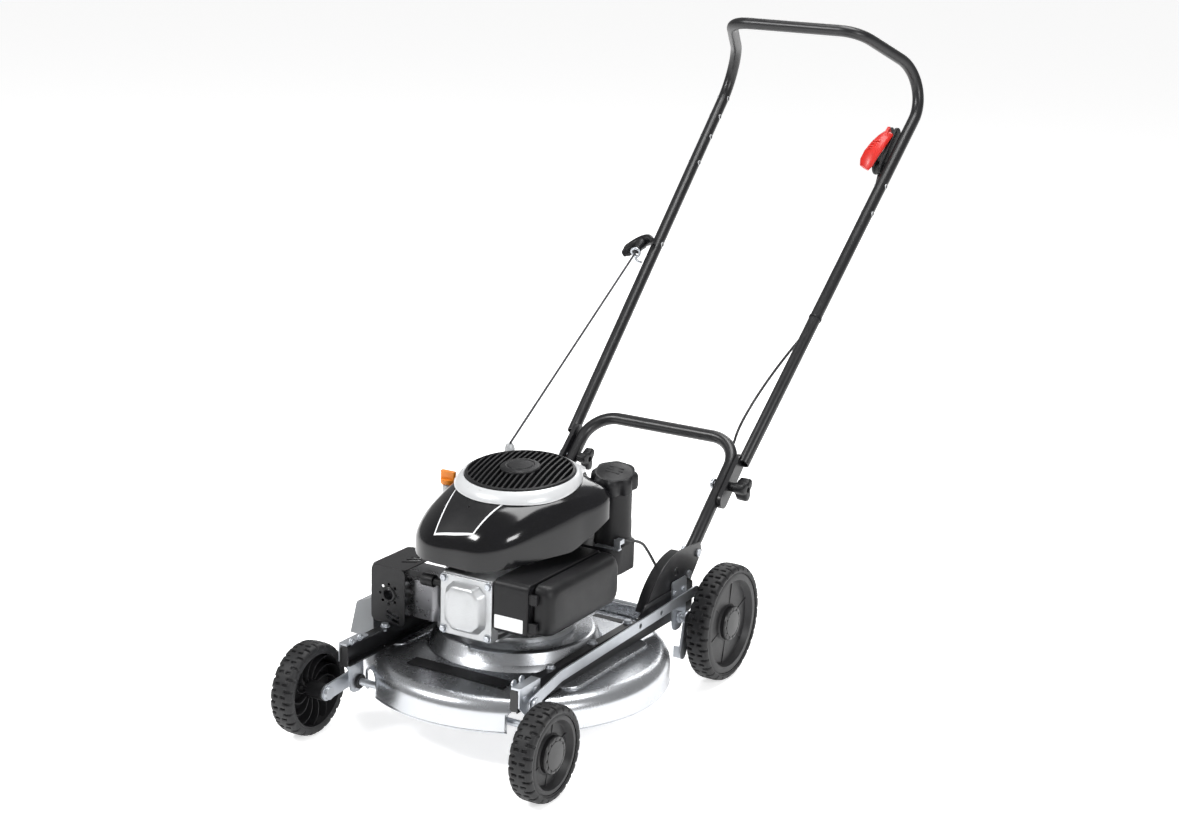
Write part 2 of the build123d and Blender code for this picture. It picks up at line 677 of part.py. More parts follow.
with BuildPart() as shroud_trim_ring:
    with BuildSketch(Plane.XY.offset(388)):
        with Locations((0, ENGINE_Y)):
            Circle(101)
        with BuildLine():
            Polyline((-18, ENGINE_Y + 98), (62, MID_Y + 78), (94, ENGINE_Y + 34), (-18, ENGINE_Y + 98))
        make_face()
        with Locations((0, ENGINE_Y)):
            Circle(92, mode=Mode.SUBTRACT)
    extrude(amount=16)
shroud_trim_ring.part.label = "shroud_trim_ring"
export_step(shroud_trim_ring.part, "parts/shroud_trim_ring.step")

with BuildPart() as starter_grille:
    disc(91.5, 388, 412)
    disc(89, 386, 406, mode=Mode.SUBTRACT)
    for number in range(-8, 9):
        slot_x = number * 9.6
        slot_length = 2 * (84**2 - slot_x**2) ** 0.5 - 6
        with BuildSketch(Plane.XY.offset(400)):
            with Locations((slot_x, ENGINE_Y)):
                SlotOverall(slot_length, 5, rotation=90)
        extrude(amount=20, mode=Mode.SUBTRACT)
    disc(26, 404, 417)
starter_grille.part.label = "starter_grille"
export_step(starter_grille.part, "parts/starter_grille.step")

with BuildPart() as muffler:
    box(-184, -72, -150, -74, 174, 238, 14)
    with BuildSketch(side_plane(-73)):
        with Locations((MID_Y - 118, 212)):
            Circle(13)
    extrude(amount=37.5)
    with BuildSketch(front_plane(MID_Y - 149)):
        with Locations((-160, 206)):
            Circle(12)
            Circle(9, mode=Mode.SUBTRACT)
    extrude(amount=14)
muffler.part.label = "muffler"
export_step(muffler.part, "parts/muffler.step")

with BuildPart() as muffler_guard:
    box(-194, -127, -167, -60, 159, 256, 12)
    box(-192, -120, -165, -62, 150, 254, 10, Mode.SUBTRACT)
    with BuildSketch(front_plane(MID_Y - 160)):
        with Locations((-160, 206)):
            Circle(17)
        for row in (-1, 1):
            with Locations((-160, 206 + row * 33)):
                SlotOverall(44, 7)
    extrude(amount=20, mode=Mode.SUBTRACT)
    with BuildSketch(side_plane(-200)):
        for row in range(5):
            with Locations((MID_Y - 113, 178 + row * 15)):
                SlotOverall(76, 6)
    extrude(amount=20, mode=Mode.SUBTRACT)
muffler_guard.part.label = "muffler_guard"
export_step(muffler_guard.part, "parts/muffler_guard.step")

FILTER = (-198, 30, 203, 291.5)       # y and z limits of the air filter box
with BuildPart() as air_filter_base:
    with BuildSketch(side_plane(64)):
        with Locations((MID_Y + (FILTER[0] + FILTER[1]) / 2, (FILTER[2] + FILTER[3]) / 2)):
            RectangleRounded(FILTER[1] - FILTER[0], FILTER[3] - FILTER[2], 12)
    extrude(amount=62)
    with BuildSketch(side_plane(72)):
        with Locations((MID_Y + (FILTER[0] + FILTER[1]) / 2, (FILTER[2] + FILTER[3]) / 2)):
            RectangleRounded(FILTER[1] - FILTER[0] - 6, FILTER[3] - FILTER[2] - 6, 10)
    extrude(amount=60, mode=Mode.SUBTRACT)
    box(78, 100, 26, 30.5, 210, 232)
air_filter_base.part.label = "air_filter_base"
export_step(air_filter_base.part, "parts/air_filter_base.step")

with BuildPart() as air_filter_element:
    box(74, 124, -180, 8, 216, 288, 6)
    for row in range(18):
        box(74, 128, -174 + row * 10, -170 + row * 10, 220, 284)
air_filter_element.part.label = "air_filter_element"
export_step(air_filter_element.part, "parts/air_filter_element.step")

with BuildPart() as air_filter_cover:
    with BuildSketch(side_plane(128)):
        with Locations((MID_Y + (FILTER[0] + FILTER[1]) / 2, (FILTER[2] + FILTER[3]) / 2)):
            RectangleRounded(FILTER[1] - FILTER[0], FILTER[3] - FILTER[2], 12)
    extrude(amount=34)
    fillet(air_filter_cover.edges().sort_by(Axis.X)[-8:], 8)
    with BuildSketch(side_plane(127)):
        with Locations((MID_Y + (FILTER[0] + FILTER[1]) / 2, (FILTER[2] + FILTER[3]) / 2)):
            RectangleRounded(FILTER[1] - FILTER[0] - 6, FILTER[3] - FILTER[2] - 6, 10)
    extrude(amount=32, mode=Mode.SUBTRACT)
    box(128, 150, 28, 36, 236, 262)
air_filter_cover.part.label = "air_filter_cover"
export_step(air_filter_cover.part, "parts/air_filter_cover.step")

with BuildPart() as carburettor:
    box(70, 106, 34, 70, 206, 234, 5)
    disc(17, 182, 206, 88, MID_Y + 52)
    with BuildSketch(front_plane(MID_Y + 35)):
        with Locations((88, 220)):
            Circle(12)
    extrude(amount=4)
carburettor.part.label = "carburettor"
export_step(carburettor.part, "parts/carburettor.step")

with BuildPart() as fuel_tank:
    box(-76, 144, 36, 118, 241, 287, 24)
    disc(29, 280, 378, NECK[0], MID_Y + NECK[1])
    box(-70, 110, 42, 112, 247, 281, 20, Mode.SUBTRACT)
    disc(25.5, 270, 380, NECK[0], MID_Y + NECK[1], Mode.SUBTRACT)
fuel_tank.part.label = "fuel_tank"
export_step(fuel_tank.part, "parts/fuel_tank.step")

with BuildPart() as fuel_cap:
    with BuildSketch(Plane.XY.offset(379)):
        with Locations((NECK[0], MID_Y + NECK[1])):
            Circle(37)
            with PolarLocations(30, 8):
                Circle(9.5)
    extrude(amount=30)
    disc(32, 376, 403, NECK[0], MID_Y + NECK[1], Mode.SUBTRACT)
    disc(25.45, 362, 403, NECK[0], MID_Y + NECK[1])
    disc(22, 360, 403, NECK[0], MID_Y + NECK[1], Mode.SUBTRACT)
    disc(32, 409, 412, NECK[0], MID_Y + NECK[1])
fuel_cap.part.label = "fuel_cap"
export_step(fuel_cap.part, "parts/fuel_cap.step")

with BuildPart() as dipstick:
    disc(13, 362.5, 370, DIPSTICK[0], MID_Y + DIPSTICK[1])
    box(DIPSTICK[0] - 14, DIPSTICK[0] + 14, DIPSTICK[1] - 4, DIPSTICK[1] + 4, 368, 383, 3)
dipstick.part.label = "dipstick"
export_step(dipstick.part, "parts/dipstick.step")

with BuildPart() as control_bracket:
    box(104, 150, 38, 48, 287, 289.5)
    box(138, 150, 42, 44.5, 287, 304)
    box(139, 150, 42, 56, 296, 304)
control_bracket.part.label = "control_bracket"
export_step(control_bracket.part, "parts/control_bracket.step")

with BuildPart() as spark_plug:
    for x, radius, length in ((-35, 9, 8), (-43, 6, 14), (-57, 10, 22)):
        with BuildSketch(side_plane(x)):
            with Locations((MID_Y - 184, 258)):
                Circle(radius)
        extrude(amount=-length)
spark_plug.part.label = "spark_plug"
export_step(spark_plug.part, "parts/spark_plug.step")

# ---------------------------------------------------------------- running gear and blades
DISC_Z = 100.0
BLADE_PIVOT_R = 88.0
with BuildPart() as crankshaft:
    disc(CRANK_R, 92, 346)
    disc(24, 104, 132)
    disc(15, 84, 92)
crankshaft.part.label = "crankshaft"
export_step(crankshaft.part, "parts/crankshaft.step")

with BuildPart() as flywheel:
    disc(80, 322, 334)
    disc(28, 300, 322)
    with BuildSketch(Plane.XY.offset(334)):
        with Locations((0, ENGINE_Y)):
            with PolarLocations(64, 18):
                Rectangle(26, 3)
    extrude(amount=24)
    disc(CRANK_R, 290, 400, mode=Mode.SUBTRACT)
flywheel.part.label = "flywheel"
export_step(flywheel.part, "parts/flywheel.step")

with BuildPart() as blade_disc:
    disc(108, DISC_Z, DISC_Z + 4)
    disc(CRANK_R, DISC_Z - 1, DISC_Z + 5, mode=Mode.SUBTRACT)
    with BuildSketch(Plane.XY.offset(DISC_Z)):
        with Locations((0, ENGINE_Y)):
            with PolarLocations(BLADE_PIVOT_R, 4, 45):
                Circle(4)
    extrude(amount=4, mode=Mode.SUBTRACT)
blade_disc.part.label = "blade_disc"
export_step(blade_disc.part, "parts/blade_disc.step")

with BuildPart() as blade_bolts:
    for z0, z1, radius in ((DISC_Z - 9, DISC_Z - 4.6, 8), (DISC_Z - 5, DISC_Z + 4, 4), (DISC_Z + 4, DISC_Z + 9, 7)):
        with BuildSketch(Plane.XY.offset(z0)):
            with Locations((0, ENGINE_Y)):
                with PolarLocations(BLADE_PIVOT_R, 4, 45):
                    Circle(radius)
        extrude(amount=z1 - z0)
blade_bolts.part.label = "blade_bolts"
export_step(blade_bolts.part, "parts/blade_bolts.step")

for number in range(4):
    heading = 45 + 90 * number
    pivot_x = BLADE_PIVOT_R * cos(radians(heading))
    pivot_y = ENGINE_Y + BLADE_PIVOT_R * sin(radians(heading))
    blade_plane = Plane(
        origin=(pivot_x, pivot_y, DISC_Z - 4.2),
        x_dir=(cos(radians(heading)), sin(radians(heading)), 0),
        z_dir=(0, 0, 1),
    )
    with BuildPart() as blade:
        with BuildSketch(blade_plane):
            with BuildLine():
                Polyline((-18, -20), (106, -20), (122, 0), (122, 20), (-18, 20), (-18, -20))
            make_face()
            Circle(4 + RUNNING_GAP, mode=Mode.SUBTRACT)
        extrude(amount=3.8)
    blade.part.label = f"blade_{number + 1}"
    export_step(blade.part, f"parts/blade_{number + 1}.step")

# ---------------------------------------------------------------- controls and cords
def tube_point(fraction, inward, below=0.0):
    """Point beside the left upper tube at a fraction of its length from the clamp."""
    distance = fraction * HANDLE_LENGTH
    spread = UPPER_X0 + (UPPER_X1 - UPPER_X0) * (distance - 50) / (HANDLE_LENGTH - 50)
    y, z = along(distance)
    slope = radians(HANDLE_SLOPE)
    return (spread - inward, y + below * sin(slope), z - below * cos(slope))


LEVER_PIVOT = tube_point(0.83, 24)
with BuildPart() as throttle_housing:
    with BuildSketch(side_plane(LEVER_PIVOT[0] - 9)):
        with Locations(tube_point(0.83, 24)[1:]):
            SlotOverall(84, 26, rotation=HANDLE_SLOPE)
    extrude(amount=19)
    with BuildSketch(side_plane(LEVER_PIVOT[0] - 3.4)):
        with Locations(tube_point(0.83, 24)[1:]):
            SlotOverall(90, 32, rotation=HANDLE_SLOPE)
    extrude(amount=6.8, mode=Mode.SUBTRACT)
    with BuildSketch(side_plane(LEVER_PIVOT[0] - 9)):
        with Locations(tube_point(0.83, 24)[1:]):
            Circle(4)
    extrude(amount=19)
throttle_housing.part.label = "throttle_housing"
export_step(throttle_housing.part, "parts/throttle_housing.step")

slope = radians(HANDLE_SLOPE)


def beside_lever(up, across):
    """y and z of a point near the lever's pivot, along and square to the handle."""
    return (
        LEVER_PIVOT[1] + up * cos(slope) - across * sin(slope),
        LEVER_PIVOT[2] + up * sin(slope) + across * cos(slope),
    )


with BuildPart() as throttle_lever:
    with BuildSketch(side_plane(LEVER_PIVOT[0] - 3)):
        with Locations(LEVER_PIVOT[1:]):
            Circle(13)
        with Locations(beside_lever(10, 12)):
            Rectangle(18, 26, rotation=HANDLE_SLOPE)
        with Locations(LEVER_PIVOT[1:]):
            Circle(4 + RUNNING_GAP, mode=Mode.SUBTRACT)
    extrude(amount=6)
    with BuildSketch(side_plane(LEVER_PIVOT[0] - 16)):
        with Locations(beside_lever(10, 22)):
            SlotOverall(26, 6, rotation=HANDLE_SLOPE)
    extrude(amount=22)
    with BuildSketch(side_plane(LEVER_PIVOT[0] - 34)):
        with Locations(beside_lever(-8, 22)):
            SlotOverall(56, 8, rotation=HANDLE_SLOPE)
    extrude(amount=20)
throttle_lever.part.label = "throttle_lever"
export_step(throttle_lever.part, "parts/throttle_lever.step")

CABLE_R = 2.5
CABLE_ROUTE = [
    tube_point(0.779, 24),
    tube_point(0.71, 5, 14.3),
    tube_point(0.40, 3, 14.3),
    tube_point(0.31, 26, 12),
    tube_point(0.22, 44, 15),
    (132, MID_Y + 489, 392),
    (126, MID_Y + 481, 354),
    (124, MID_Y + 380, 262),
    (124, MID_Y + 320, 205),
    (127, MID_Y + 262, 184),
    (134, MID_Y + 205, 203),
    (139, MID_Y + 158, 252),
    (150, MID_Y + 108, 288),
    (144, MID_Y + 57, 300),
]
with BuildPart() as throttle_cable:
    with BuildLine() as cable_path:
        FilletPolyline(*CABLE_ROUTE, radius=16)
    with BuildSketch(Plane(origin=cable_path.line @ 0, z_dir=cable_path.line % 0)):
        Circle(CABLE_R)
    sweep(path=cable_path.line)
throttle_cable.part.label = "throttle_cable"
export_step(throttle_cable.part, "parts/throttle_cable.step")

ROPE_START = Vector(-78, MID_Y + 62, 424)
ROPE_RING = Vector(-215, MID_Y + 712, 631)
ROPE_WAY = (ROPE_RING - ROPE_START).normalized()
with BuildPart() as starter_rope:
    with BuildSketch(Plane(origin=ROPE_START + ROPE_WAY * 11, z_dir=ROPE_WAY)):
        Circle(2.0)
    extrude(amount=(ROPE_RING - ROPE_START).length - 4)
starter_rope.part.label = "starter_rope"
export_step(starter_rope.part, "parts/starter_rope.step")

GRIP_AXIS = (Vector(0.8, 0, 0.6) - ROPE_WAY * Vector(0.8, 0, 0.6).dot(ROPE_WAY)).normalized()
with BuildPart() as starter_grip:
    with BuildSketch(Plane(origin=ROPE_RING + ROPE_WAY * 9, z_dir=ROPE_WAY)):
        Circle(8)
    extrude(amount=26)
    with BuildSketch(Plane(origin=ROPE_RING + ROPE_WAY * 36 - GRIP_AXIS * 34, z_dir=GRIP_AXIS)):
        Circle(8)
    extrude(amount=62)
starter_grip.part.label = "starter_grip"
export_step(starter_grip.part, "parts/starter_grip.step")

TUBE_AT_RING = tube_point(0.475, 0)
with BuildPart() as rope_guide:
    with BuildSketch(Plane(origin=ROPE_RING, z_dir=ROPE_WAY)):
        Circle(11)
        Circle(6.5, mode=Mode.SUBTRACT)
    extrude(amount=3.5, both=True)
    with BuildSketch(side_plane(-TUBE_AT_RING[0] - 11.2)):
        with Locations((ROPE_RING.Y, ROPE_RING.Z - 18)):
            Circle(3)
    extrude(amount=-12)
    with BuildSketch(Plane.XY.offset(ROPE_RING.Z - 23)):
        with Locations((ROPE_RING.X, ROPE_RING.Y)):
            Circle(3.5)
    extrude(amount=13)
rope_guide.part.label = "rope_guide"
export_step(rope_guide.part, "parts/rope_guide.step")
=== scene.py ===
from math import atan2, cos, pi, radians, sin

import bmesh
import bpy
from mathutils import Matrix, Vector


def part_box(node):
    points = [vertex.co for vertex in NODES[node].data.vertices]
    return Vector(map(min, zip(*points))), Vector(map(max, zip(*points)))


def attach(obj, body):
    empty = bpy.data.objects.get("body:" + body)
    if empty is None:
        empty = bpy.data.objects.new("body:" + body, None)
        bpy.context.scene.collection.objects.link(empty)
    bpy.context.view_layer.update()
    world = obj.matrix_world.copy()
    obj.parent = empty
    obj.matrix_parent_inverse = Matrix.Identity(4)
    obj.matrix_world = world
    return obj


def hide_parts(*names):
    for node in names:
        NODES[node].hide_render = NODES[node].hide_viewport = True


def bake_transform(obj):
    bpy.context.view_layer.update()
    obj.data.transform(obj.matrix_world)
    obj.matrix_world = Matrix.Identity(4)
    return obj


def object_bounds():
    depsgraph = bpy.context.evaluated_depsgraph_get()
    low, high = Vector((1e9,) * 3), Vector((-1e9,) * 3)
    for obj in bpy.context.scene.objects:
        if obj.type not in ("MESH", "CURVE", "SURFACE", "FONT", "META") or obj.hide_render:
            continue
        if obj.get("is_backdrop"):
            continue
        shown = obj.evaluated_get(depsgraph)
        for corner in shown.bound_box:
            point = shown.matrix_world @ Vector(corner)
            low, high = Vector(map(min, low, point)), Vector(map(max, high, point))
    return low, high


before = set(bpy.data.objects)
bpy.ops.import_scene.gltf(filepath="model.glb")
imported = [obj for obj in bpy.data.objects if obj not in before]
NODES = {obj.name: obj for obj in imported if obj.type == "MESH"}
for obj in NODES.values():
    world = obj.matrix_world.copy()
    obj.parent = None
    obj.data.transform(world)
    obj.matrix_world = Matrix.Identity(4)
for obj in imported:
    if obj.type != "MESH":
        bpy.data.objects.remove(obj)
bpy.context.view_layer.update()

MID_Y = -345.0                      # middle of the wheelbase
ENGINE_Y = -28.0                    # crankshaft axis, from the wheelbase middle


def at(x, y, z):
    """Point from millimetres, y counted from the middle of the wheelbase."""
    return Vector((x, MID_Y + y, z)) / 1000


# ---------------------------------------------------------------- materials
PATCH_SCALE = 14.0                  # size of the colour mottling
SOIL_SCALE = 38.0                   # size of the dirt patches
SOIL_COLOR = (0.21, 0.19, 0.165, 1)
COAT_ROUGHNESS = 0.12
GRAIN_DEPTH = 0.0006


def material(name, color, rough, metal=0.0, grain=300.0, bump=0.1, spread=0.15, dirt=0.0, coat=0.0,
             stretch=(1, 1, 1), gleam=0.5, uneven=0.12):
    """Principled surface with mottled colour, uneven roughness, fine grain and some dirt in patches."""
    m = bpy.data.materials.new(name)
    m.use_nodes = True
    tree = m.node_tree
    new, join = tree.nodes.new, tree.links.new
    shader = tree.nodes["Principled BSDF"]
    shader.inputs["Metallic"].default_value = metal
    shader.inputs["Coat Weight"].default_value = coat
    shader.inputs["Coat Roughness"].default_value = COAT_ROUGHNESS
    shader.inputs["Specular IOR Level"].default_value = gleam
    where = new("ShaderNodeTexCoord")
    scaled = new("ShaderNodeMapping")
    scaled.inputs["Scale"].default_value = stretch
    join(where.outputs["Object"], scaled.inputs["Vector"])
    patches = new("ShaderNodeTexNoise")
    patches.inputs["Scale"].default_value = PATCH_SCALE
    patches.inputs["Detail"].default_value = 6.0
    fine = new("ShaderNodeTexNoise")
    fine.inputs["Scale"].default_value = grain
    fine.inputs["Detail"].default_value = 4.0
    join(where.outputs["Object"], patches.inputs["Vector"])
    join(scaled.outputs["Vector"], fine.inputs["Vector"])
    tint = new("ShaderNodeValToRGB")
    low = [c * (1 - spread) for c in color]
    high = [min(1.0, c * (1 + spread)) for c in color]
    tint.color_ramp.elements[0].position = 0.3
    tint.color_ramp.elements[0].color = (*low, 1)
    tint.color_ramp.elements[1].position = 0.7
    tint.color_ramp.elements[1].color = (*high, 1)
    join(patches.outputs["Fac"], tint.inputs["Fac"])
    soil = new("ShaderNodeTexNoise")
    soil.inputs["Scale"].default_value = SOIL_SCALE
    soil.inputs["Detail"].default_value = 9.0
    soil.inputs["Roughness"].default_value = 0.7
    join(where.outputs["Object"], soil.inputs["Vector"])
    soiled = new("ShaderNodeValToRGB")
    soiled.color_ramp.elements[0].position = 0.56
    soiled.color_ramp.elements[0].color = (0, 0, 0, 1)
    soiled.color_ramp.elements[1].position = 0.74
    soiled.color_ramp.elements[1].color = (dirt, dirt, dirt, 1)
    join(soil.outputs["Fac"], soiled.inputs["Fac"])
    mix = new("ShaderNodeMixRGB")
    mix.inputs["Color2"].default_value = SOIL_COLOR
    join(soiled.outputs["Color"], mix.inputs["Fac"])
    join(tint.outputs["Color"], mix.inputs["Color1"])
    join(mix.outputs["Color"], shader.inputs["Base Color"])
    worn = new("ShaderNodeMapRange")
    worn.inputs["To Min"].default_value = max(0.04, rough - uneven * 0.6)
    worn.inputs["To Max"].default_value = min(1.0, rough + uneven)
    join(soil.outputs["Fac"], worn.inputs["Value"])
    join(worn.outputs["Result"], shader.inputs["Roughness"])
    relief = new("ShaderNodeBump")
    relief.inputs["Strength"].default_value = bump
    relief.inputs["Distance"].default_value = GRAIN_DEPTH
    join(fine.outputs["Fac"], relief.inputs["Height"])
    join(relief.outputs["Normal"], shader.inputs["Normal"])
    return m


SILVER = material("deck_silver", (0.54, 0.555, 0.58), 0.27, 0.97, 1600, 0.004, 0.03, 0.0,
                  uneven=0.012)
BLACK = material("satin_black", (0.009, 0.009, 0.010), 0.31, 0.0, 700, 0.10, 0.25, 0.02, gleam=0.5)
ZINC = material("zinc", (0.47, 0.49, 0.52), 0.36, 0.9, 500, 0.15, 0.12, 0.10, 0.0, (1, 1, 5))
ALLOY = material("cast_alloy", (0.50, 0.51, 0.52), 0.40, 0.85, 420, 0.6, 0.1, 0.12)
GLOSS = material("gloss_black", (0.004, 0.004, 0.005), 0.12, 0.0, 250, 0.01, 0.3, 0.01,
                 gleam=0.45, uneven=0.03)
MATT = material("matt_black", (0.007, 0.007, 0.008), 0.42, 0.0, 900, 0.30, 0.2, 0.02, gleam=0.3)
LIGHT = material("light_trim", (0.60, 0.61, 0.62), 0.28, 0.1, 300, 0.05, 0.03, 0.03, 0.3)
WHITE = material("blank_white", (0.85, 0.86, 0.87), 0.35, 0.0, 300, 0.03, 0.02, 0.02)
EYELET = material("eyelet_grey", (0.45, 0.46, 0.47), 0.35, 0.2, 400, 0.1, 0.05, 0.05)
HEAT = material("heat_black", (0.008, 0.008, 0.009), 0.36, 0.0, 600, 0.3, 0.2, 0.03, gleam=0.35)
STEEL = material("bare_steel", (0.36, 0.36, 0.37), 0.28, 0.97, 350, 0.2, 0.15, 0.12, 0.0, (6, 1, 1))
MUFFLER = material("muffler_steel", (0.20, 0.20, 0.21), 0.26, 0.97, 300, 0.1, 0.2, 0.1)
FOAM = material("filter_foam", (0.05, 0.05, 0.055), 0.9, 0.0, 600, 0.9, 0.3)
TYRE = material("tyre_rubber", (0.012, 0.012, 0.013), 0.5, 0.0, 800, 0.3, 0.25, 0.05, gleam=0.35)
RIM = material("wheel_plastic", (0.012, 0.012, 0.013), 0.4, 0.0, 700, 0.2, 0.2, 0.03, gleam=0.35)
CAP = material("hub_cap_plastic", (0.014, 0.014, 0.015), 0.3, 0.0, 500, 0.08, 0.2, 0.03, gleam=0.4)
RED = material("red_lever", (0.55, 0.012, 0.006), 0.35, 0.0, 400, 0.1, 0.1, 0.03, 0.1)
ORANGE = material("orange_cap", (0.72, 0.22, 0.015), 0.4, 0.0, 400, 0.12, 0.1, 0.04)
GREY = material("chute_grey", (0.20, 0.21, 0.22), 0.4, 0.1, 500, 0.15, 0.08, 0.04, 0.1)
CORD = material("cable_outer", (0.012, 0.012, 0.013), 0.4, 0.0, 900, 0.25, 0.2, 0.03)
ROPE = material("braided_rope", (0.030, 0.030, 0.034), 0.75, 0.0, 1500, 1.0, 0.3, 0.05, 0.0, (1, 0.25, 1))

LOOKS = {
    "deck_shell": SILVER, "rear_cross_member": SILVER, "discharge_chute": GREY,
    "left_rail": BLACK, "right_rail": BLACK, "handle_brackets": BLACK,
    "lower_handle": BLACK, "upper_handle": BLACK,
    "front_axle_brackets": ZINC, "rear_axle_brackets": ZINC, "axle_bushes": MATT,
    "frame_bolts": ZINC, "front_axle": ZINC, "rear_axle": ZINC, "height_bar": ZINC,
    "rocker_cover_bolts": ZINC, "control_bracket": ZINC, "rope_guide": ZINC,
    "engine_block": ALLOY, "rocker_cover": ALLOY, "carburettor": ALLOY, "flywheel": ALLOY,
    "blower_housing": GLOSS, "shroud_trim_ring": LIGHT, "starter_grille": MATT,
    "muffler": MUFFLER, "muffler_guard": HEAT, "air_filter_base": MATT, "air_filter_cover": MATT,
    "air_filter_element": FOAM, "fuel_tank": MATT, "fuel_cap": MATT, "dipstick": ORANGE,
    "spark_plug": MATT, "crankshaft": STEEL, "blade_disc": STEEL, "blade_bolts": STEEL,
    "left_knob": MATT, "right_knob": MATT, "throttle_housing": MATT, "throttle_lever": RED,
    "throttle_cable": CORD, "starter_rope": ROPE, "starter_grip": MATT,
}
ENDINGS = {"_tyre": TYRE, "_rim": RIM, "_hub_cap": CAP}


def look_of(node_name):
    """Material of a CAD node; the loose parts under the deck that aren't listed are bare steel."""
    for ending, look in ENDINGS.items():
        if node_name.endswith(ending):
            return look
    return LOOKS.get(node_name, STEEL)


for node_name, node in NODES.items():
    node.data.materials.clear()
    node.data.materials.append(look_of(node_name))
    weld = node.modifiers.new("weld", "WELD")
    weld.merge_threshold = 0.00002
    edge = node.modifiers.new("soft_edges", "BEVEL")
    edge.width = 0.0007
    edge.segments = 2
    edge.limit_method = "ANGLE"
    edge.angle_limit = radians(35)


# ---------------------------------------------------------------- building pieces
def piece(name, verts, faces, look, body, stands_for=(), bevel=0.0, sharp=40):
    """Mesh piece in the row frame that moves with a body."""
    mesh = bpy.data.meshes.new(name)
    mesh.from_pydata([tuple(v) for v in verts], [], faces)
    built = bmesh.new()
    built.from_mesh(mesh)
    bmesh.ops.remove_doubles(built, verts=built.verts, dist=0.00001)
    bmesh.ops.recalc_face_normals(built, faces=built.faces)
    built.to_mesh(mesh)
    built.free()
    mesh.polygons.foreach_set("use_smooth", [True] * len(mesh.polygons))
    mesh.set_sharp_from_angle(angle=radians(sharp))
    o = bpy.data.objects.new(name, mesh)
    bpy.context.scene.collection.objects.link(o)
    mesh.materials.append(look)
    if bevel > 0:
        edge = o.modifiers.new("soft_edges", "BEVEL")
        edge.width = bevel
        edge.segments = 3
        edge.limit_method = "ANGLE"
        edge.angle_limit = radians(32)
        edge.harden_normals = True
    if stands_for:
        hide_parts(*stands_for)
    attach(o, body)
    return o


def grid(rows, cols, wrap_cols=True, wrap_rows=False):
    """Faces of a grid of rows x cols vertices."""
    faces = []
    for i in range(rows if wrap_rows else rows - 1):
        for j in range(cols if wrap_cols else cols - 1):
            a, b = i * cols + j, i * cols + (j + 1) % cols
            c, d = (i + 1) % rows * cols + (j + 1) % cols, (i + 1) % rows * cols + j
            faces.append((a, b, c, d))
    return faces


def lathe(profile, origin, axis, across, steps=72):
    """Vertices and faces of a profile of (radius, height) turned round an axis."""
    other = axis.cross(across)
    verts = []
    for radius, height in profile:
        for k in range(steps):
            a = 2 * pi * k / steps
            spoke = across * cos(a) + other * sin(a)
            verts.append(origin + (axis * height + spoke * radius) / 1000)
    return verts, grid(len(profile), steps)


def slab(outline, origin, u, v, depth):
    """Outline of (u, v) points in millimetres, made into a plate of the given depth."""
    normal = u.cross(v)
    count = len(outline)
    verts = [origin + (u * p + v * q) / 1000 for p, q in outline]
    verts += [p + normal * depth / 1000 for p in verts]
    faces = [tuple(range(count)), tuple(range(count, 2 * count))]
    for k in range(count):
        j = (k + 1) % count
        faces.append((k, j, j + count, k + count))
    return verts, faces


def rounded(width, height, radius, steps=6, cx=0.0, cy=0.0):
    """Outline of a rectangle with round corners."""
    points = []
    for sx, sy, start in ((1, 1, 0), (-1, 1, 90), (-1, -1, 180), (1, -1, 270)):
        for k in range(steps + 1):
            a = radians(start + 90 * k / steps)
            x = cx + sx * (width / 2 - radius) + radius * cos(a)
            y = cy + sy * (height / 2 - radius) + radius * sin(a)
            points.append((x, y))
    return points


def joined(parts):
    """Several (verts, faces) as one."""
    verts, faces = [], []
    for some, these in parts:
        base = len(verts)
        verts += some
        faces += [tuple(k + base for k in face) for face in these]
    return verts, faces


def ring_stack(levels, origin, u, v):
    """Closed shape through outlines at given depths; the last one is capped."""
    normal = u.cross(v)
    count = len(levels[0][1])
    verts = []
    for depth, outline in levels:
        verts += [origin + (u * p + v * q + normal * depth) / 1000 for p, q in outline]
    faces = grid(len(levels), count)
    faces.append(tuple(range(count)))
    faces.append(tuple(range((len(levels) - 1) * count, len(levels) * count)))
    return verts, faces


def smooth_step(value, low, high):
    t = min(1.0, max(0.0, (value - low) / (high - low)))
    return t * t * (3 - 2 * t)


XA, YA, ZA = Vector((1, 0, 0)), Vector((0, 1, 0)), Vector((0, 0, 1))

# ---------------------------------------------------------------- wheels
WHEEL_W = 40.0
SHOULDER_R = 8.0                    # rounding of the tyre's edges
SLOT_DEPTH = 3.6
PITCH_STEPS = 16                    # mesh columns in one pitch of the tread
HUB_FACE_X = 188.4                  # inner face of every hub, from the machine's middle
RIBS = 12                           # curved ribs on the wheel's inner side
SPOKES = 6                          # low ribs in the dish on the outer side
# name, side, hub (y, z), middle of the tyre from the machine's middle, radii of tyre, rim and dish,
# and how many times the tread repeats
CORNERS = (
    ("front_left", 1, (-296.0, 76.2), 222.4, 76.2, 62.0, 53.0, 24),
    ("front_right", -1, (-296.0, 76.2), 222.4, 76.2, 62.0, 53.0, 24),
    ("rear_left", 1, (296.0, 101.6), 215.0, 101.6, 88.0, 75.0, 30),
    ("rear_right", -1, (296.0, 101.6), 215.0, 101.6, 88.0, 75.0, 30),
)


